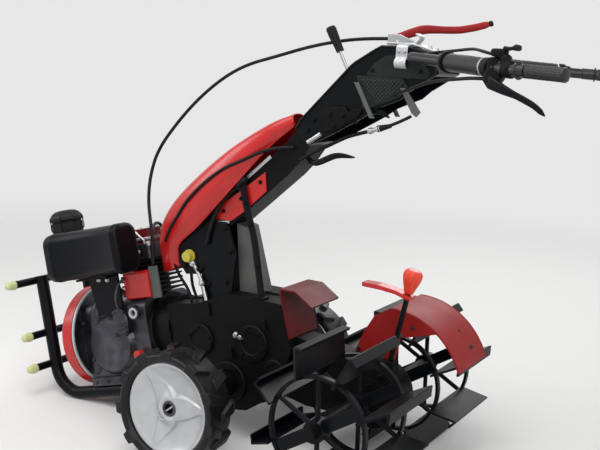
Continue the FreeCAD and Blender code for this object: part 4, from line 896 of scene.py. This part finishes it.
# Mesh: raised diamonds, the product of two slanting waves over a four-cornered patch
across, down = np.meshgrid(np.linspace(0, 1, 150), np.linspace(0, 1, 90))
corner = np.asarray(head["mesh"], float)
patch = ((corner[0] * (1 - across[..., None]) + corner[1] * across[..., None]) * (1 - down[..., None])
         + (corner[3] * (1 - across[..., None]) + corner[2] * across[..., None]) * down[..., None])
wave = np.abs(np.sin((patch[..., 0] + patch[..., 1]) * 0.3)) * np.abs(np.sin((patch[..., 0] - patch[..., 1]) * 0.3))
edge = np.minimum(np.minimum(across, 1 - across), np.minimum(down, 1 - down))
mesh = np.stack([patch[..., 0], 68.4 + 2.4 * wave * smoothStep(0, 0.05, edge), patch[..., 1]], axis=-1)
addPiece("head_mesh", [("sheet", mesh), ("sheet", mesh * (1, -1, 1))], "chassis", "black_panel", (), onMachine,
         crease=60, wall=0.8)

fold = smoothLine([(18, 1064.6), (40, 1064.6), (61, 1064), (68, 1059), (69, 1045), (70, 1034), (76, 1027), (77, 1018),
                   (72, 1011), (68, 1009)], 46)
run = np.linspace(-434, -464, 14)
clip = np.stack([np.broadcast_to(run[None], (46, 14)), np.broadcast_to(fold[:, :1], (46, 14)),
                 np.broadcast_to(fold[:, 1:], (46, 14))], axis=-1)
clip[..., 1] += 1.6 * np.cos(np.linspace(0, 4 * math.pi, 14))[None] * smoothStep(1036, 1022, fold[:, 1:])
addPiece("head_clip", [("sheet", clip)], "chassis", "silver_paint", (), onMachine, wall=2.4)
mount = roundPath([(-398, 26, 1067), (-470, 26, 1067.5), (-531, 26, 1052), (-552, 26, 1044)], 14)
stand = roundPath([(-446, 30, 1067), (-472, 30, 1070), (-484, 30, 1086), (-470, 30, 1092)], 7)
addPiece("lever_mount", [("tube", sweep(mount, roundedSquare(52, 5, 1.8, 4), (0, 0, 1))),
                         ("tube", sweep(stand, roundedSquare(26, 4, 1.5, 4), (0, 0.0, 1)))],
         "chassis", "silver_paint", (), onMachine)
addPiece("mount_bolts", boltHeads([(-420, 34, 1069.5), (-506, 34, 1060.5), (-524, 34, 1056)], (0, 0, 1), 11)
         + boltHeads([(-441, 70.5, 1048), (-457, 70.5, 1048)], (0, 1, 0), 8), "chassis", "bare_steel", (), onMachine)

# Latch levers: flat hooks that taper to a rounded point
hooks = []
for corners, wide in (([(-322, 55, 869), (-345, 55, 892), (-386, 55, 902), (-420, 55, 888)], 17),
                      ([(-179.2, 32, 765.6), (-217, 50, 757), (-280, 60, 782), (-337, 66, 784)], 15)):
    path = evenPath(smoothLine(corners, 60), 60)
    s = np.linspace(0, 1, 60)
    hooks.append(("tube", sweep(path, roundedSquare(9, wide, 4, 5), (0, 0, 1),
                                (0.75 + 0.35 * np.sin(math.pi * s)) * np.sqrt(np.clip(1.02 - s**5, 0.02, 1)))))
addPiece("latch_hooks", hooks, "chassis", "black_paint", ("latch_levers",), onMachine)

# Link rod with its threaded adjuster, the boot on the cable and the short silver tube beside it
rodPath = evenPath(roundPath([(-170, 51.2, 760), (-212, 56, 783), (-311, 62, 833), (-366, 64, 850)], 20), 60)
adjuster = evenPath([(-368, 64.1, 850.5), (-402, 65.3, 861.1)], 120)
s = np.linspace(0, 1, 120)
body = (0.62 + 0.38 * (smoothStep(0.10, 0.12, s) * smoothStep(0.36, 0.34, s) + smoothStep(0.74, 0.76, s))
        + 0.05 * np.sin(s * 150) * smoothStep(0.38, 0.40, s) * smoothStep(0.72, 0.70, s))
addPiece("link_bar", [("tube", sweep(rodPath, circle(4.6, 16)))], "chassis", "black_paint", ("link_rod",), onMachine)
addPiece("rod_adjuster", [("tube", sweep(adjuster, circle(8, 24), size=body))], "chassis", "bare_steel", (), onMachine)
boot = evenPath([(-398, 65.2, 860), (-430, 66.3, 869.5)], 60)
s = np.linspace(0, 1, 60)
addPiece("cable_boot", [("tube", sweep(boot, circle(1, 20), size=8.2 - 3.4 * s + 0.7 * np.sin(s * 40)))], "chassis",
         "black_plastic", (), onMachine)
tube = evenPath([(-203, 70.5, 809), (-240, 70.5, 834)], 30)
addPiece("silver_tube", [("tube", sweep(tube, circle(6.2, 24)))], "chassis", "bare_steel", (), onMachine)
addPiece("tube_bolts", boltHeads([(-196, 66, 838), (-214, 66, 866)], (0, 1, 0), 9), "chassis", "black_casting", (),
         onMachine)
print("head fitted out")

# Column: bright strip, stay down to the gearbox, the clamp that ties the cables and its rods
strip = sweep(evenPath([(-2, 48, 690), (-80, 48, 760)], 8), roundedSquare(9, 3, 1, 4), (0, 1, 0))
low = sweep(evenPath([(90, 50, 566), (40, 50, 573)], 8), roundedSquare(7, 3, 1, 4), (0, 1, 0))
addPiece("column_strips", [("tube", strip), ("tube", low)], "chassis", "silver_paint", (), onMachine)
stay = evenPath(roundPath([(2, 55, 692), (-20, 56, 612), (-46, 57, 545), (-66, 58, 450), (-80, 60, 387)], 30), 60)
addPiece("column_stay", [("tube", sweep(stay, roundedSquare(20, 5, 2, 4), (0, 1, 0)))]
         + [("tube", plate([(-96, 392), (-60, 392), (-60, 386), (-96, 386)], 50, 74, 2, 0.8))], "chassis",
         "black_paint", (), onMachine)
addPiece("stay_bolts", boltHeads([(-14, 58.5, 632), (-33, 59, 575), (-62, 60.5, 470)], (0, 1, 0), 11)
         + boltHeads([(60, 49, 600), (6, 49, 640), (-52, 49, 690)], (0, 1, 0), 9), "chassis", "black_casting", (),
         onMachine)
turn = np.linspace(-1, 1, 25)
clamp = sweep(np.stack([2 + 15 * turn, 57 + 0 * turn, 684 - 15 * turn], axis=1), roundedSquare(22, 26, 9, 6), (0, 1, 0),
              np.sqrt(np.clip(1 - np.abs(turn)**3, 0.03, 1)))
ties = [("tube", sweep(evenPath([(x - 8, 57, z + 20), (x + 8, 57, z - 20)], 4), roundedSquare(4, 30, 1.8, 4), (1, 0, 0)))
        for x, z in ((2, 684),)]
addPiece("cable_clamp", [("tube", clamp)] + ties, "chassis", "black_plastic", (), onMachine)
rods = [roundPath(corners, 18) for corners in (
    [(222, 44, 440), (205, 50, 412), (163, 52, 368), (150, 52, 338)], [(132, 60, 436), (118, 60, 405), (100, 60, 352)],
    [(176, 30, 430), (170, 30, 380), (150, 30, 340)])]
addPiece("control_rods", [("tube", sweep(path, circle(4.2, 14), (0, 1, 0))) for path in rods], "chassis",
         "black_paint", (), onMachine)
silver = roundPath([(150, 58, 452), (128, 60, 424), (112, 64, 404), (92, 66, 352)], 14)
addPiece("shift_link", [("tube", sweep(silver, circle(5, 14), (0, 1, 0)))]
         + boltHeads([(146, 62, 446), (110, 68, 398)], (0, 1, 0), 13), "chassis", "bare_steel", (), onMachine)
addPiece("bracket_bolts", boltHeads([(44, 54, 306), (96, 54, 322), (24, 54, 424), (-52, 54, 404), (-60, 54, 340),
                                     (30, 54, 262), (-30, 54, 262)], (0, 1, 0), 13), "chassis", "black_casting")
print("column fitted out")

# Crankcase castings: the front bulge, the pump block with its ribs, plugs and the lifting ring
bulge = evenPath([(404, 86, 258), (424, 87, 150), (440, 86, 40)], 40)
s = np.linspace(-1, 1, 40)
addPiece("case_bulge", [("tube", sweep(bulge, roundedSquare(40, 42, 18, 7), (0, 1, 0),
                                       np.clip(1 - np.abs(s)**7, 0.25, 1)))], "chassis", "grey_casting")
pump = [(282, 158), (280, 206), (296, 232), (322, 232), (330, 214), (334, 158)]
pumpGrids = [("tube", plate(pump, 92, 116, 9, 3))]
pumpGrids += [("tube", plate([(284, up), (332, up), (332, up + 5), (284, up + 5)], 110, 121, 2, 1)) for up in (166, 178, 190)]
addPiece("pump_block", pumpGrids, "chassis", "grey_casting")
addPiece("pump_bolts", boltHeads([(290, 116, 222), (322, 116, 222), (290, 116, 160), (326, 116, 160)], (0, 1, 0), 9)
         + boltHeads([(246, 96, 70), (246, 96, 200), (450, 108, 200), (432, 108, 96)], (0, 1, 0), 10), "chassis",
         "grey_casting")
pipe = roundPath([(306, 112, 230), (306, 118, 262), (292, 112, 300), (282, 96, 312)], 16)
lift = np.linspace(0, math.pi, 30)
lift = np.stack([np.full(30, 213.0), 6 + 22 * np.cos(lift), 424 + 24 * np.sin(lift)], axis=1)
addPiece("engine_pipes", [("tube", sweep(pipe, circle(4, 14), (1, 0, 0))),
                          ("tube", sweep(lift, circle(4.6, 14), (1, 0, 0)))], "chassis", "grey_casting")
rocker = evenPath([(226, 0, 410), (310, 0, 410)], 20)
addPiece("rocker_band", [("tube", sweep(rocker, roundedSquare(72, 8, 3, 5), (0, 0, 1)))], "chassis", "silver_paint")
print("engine castings made")

# Gearbox: the joint flange round its outline, bearing covers on both flanks, ribs and screws
gearbox = {"outline": [(162, 222), (60, 214), (-40, 231), (-201, 188), (-205, 62), (-128, -46), (-40, -76), (60, -67),
                       (115, 10), (162, 52)], "half": 78}
line = closedPath(onSide(gearbox["outline"], 0), 14, 9)
addPiece("gearbox_flange", [("loop", closedSweep(line, roundedSquare(15, 11, 3, 5), (0, 1, 0)))], "chassis",
         "black_casting")
half = gearbox["half"]
covers = []
for u, w, radius, high in ((0, 0, 56, 9), (-96, 96, 50, 8), (70, 120, 44, 8), (-150, 20, 30, 6)):
    cover = np.array([(0, half - 1), (radius, half - 1), (radius, half + high - 3), (radius - 3, half + high),
                      (radius * 0.62, half + high), (radius * 0.56, half + high - 3), (radius * 0.3, half + high - 3),
                      (0, half + high - 3)])
    covers += [("tube", turned(cover * (1, side), (u, 0, w), "y", 56)) for side in (1, -1)]
for u, w, long in ((-30, 60, 60), (-150, 130, 50), (20, 180, 70)):
    covers += plates([(u, w), (u + 7, w), (u + 7, w + long * 0.5), (u, w + long * 0.5)], half - 1, half + 6, 2, 1)
addPiece("gearbox_covers", covers, "chassis", "black_casting")
screws = []
for u, w, radius, count in ((-96, 96, 41, 6), (70, 120, 36, 5)):
    screws += boltHeads(ringPoints((u, half + 7, w), radius, count, "y", 0.4), (0, 1, 0), 10)
    screws += boltHeads(ringPoints((u, -half - 7, w), radius, count, "y", 0.4), (0, -1, 0), 10)
addPiece("gearbox_screws", screws, "chassis", "black_casting")
addPiece("gearbox_tag", boltHeads([(-52, half + 4, 122), (-66, half + 4, 116)], (0, 1, 0), 14), "chassis", "bare_steel")
print("gearbox castings made")

# Fender: rolled lips along the top sheet, bolts on the side plate, and thin black discs in its rear end that paint the
# slot and the hole as shade
fender = {"radius": 208, "rear": 20, "front": 92, "inner": -61, "outer": -250}
turn = np.radians(np.linspace(fender["rear"], fender["front"], 70))


def fenderArc(radius, side):
    return np.stack([-radius * np.cos(turn), np.full(70, float(side)), radius * np.sin(turn)], axis=1)


def onFender(radius, angle, side):
    angle = math.radians(angle)
    return (-radius * math.cos(angle), side, radius * math.sin(angle))


lips = [("tube", sweep(fenderArc(fender["radius"] - 2, side), roundedSquare(6, 5, 2.2, 5), (0, 1, 0)))
        for side in (fender["inner"] - 2, fender["outer"] + 2.5)]
rear = [onFender(fender["radius"] - 2, fender["rear"] + 1, side) for side in (fender["inner"] - 2, fender["outer"] + 2)]
lips.append(("tube", sweep(evenPath(rear, 8), roundedSquare(5, 5, 2.2, 5), (0, 0, 1))))
addPiece("fender_lips", lips, "chassis", "red_paint", (), onRotor)
addPiece("fender_bolts", boltHeads([(92, -58, 88), (-8, -58, 112), (-30, -58, 140), (-60, -58, 168), (58, -58, 30)],
                                   (0, 1, 0), 9), "chassis", "grey_casting", (), onRotor)
# Slot and hole are not cut: black discs lie on the sheet as painted shade in their place
shadeDisc = np.array([(0, 0), (5, 0), (5, 0.7), (0, 0.7)])
slots = []
for angle, side, stretch in ((31.5, -180, 2.6), (46, -172, 1.0)):
    middle = np.asarray(onFender(fender["radius"] - 0.2, angle, side))
    disc = turned(shadeDisc, (0, 0, 0), "z", 32) * (1, stretch, 1)
    lean = math.radians(90 - angle)
    x, y, z = disc[..., 0], disc[..., 1], disc[..., 2]
    slots.append(("tube", np.stack([x * math.cos(lean) - z * math.sin(lean), y, x * math.sin(lean) + z * math.cos(lean)],
                                   axis=-1) + middle))
addPiece("fender_hole_shade", slots, "chassis", "black_plastic", (), onRotor)
print("fender trimmed")
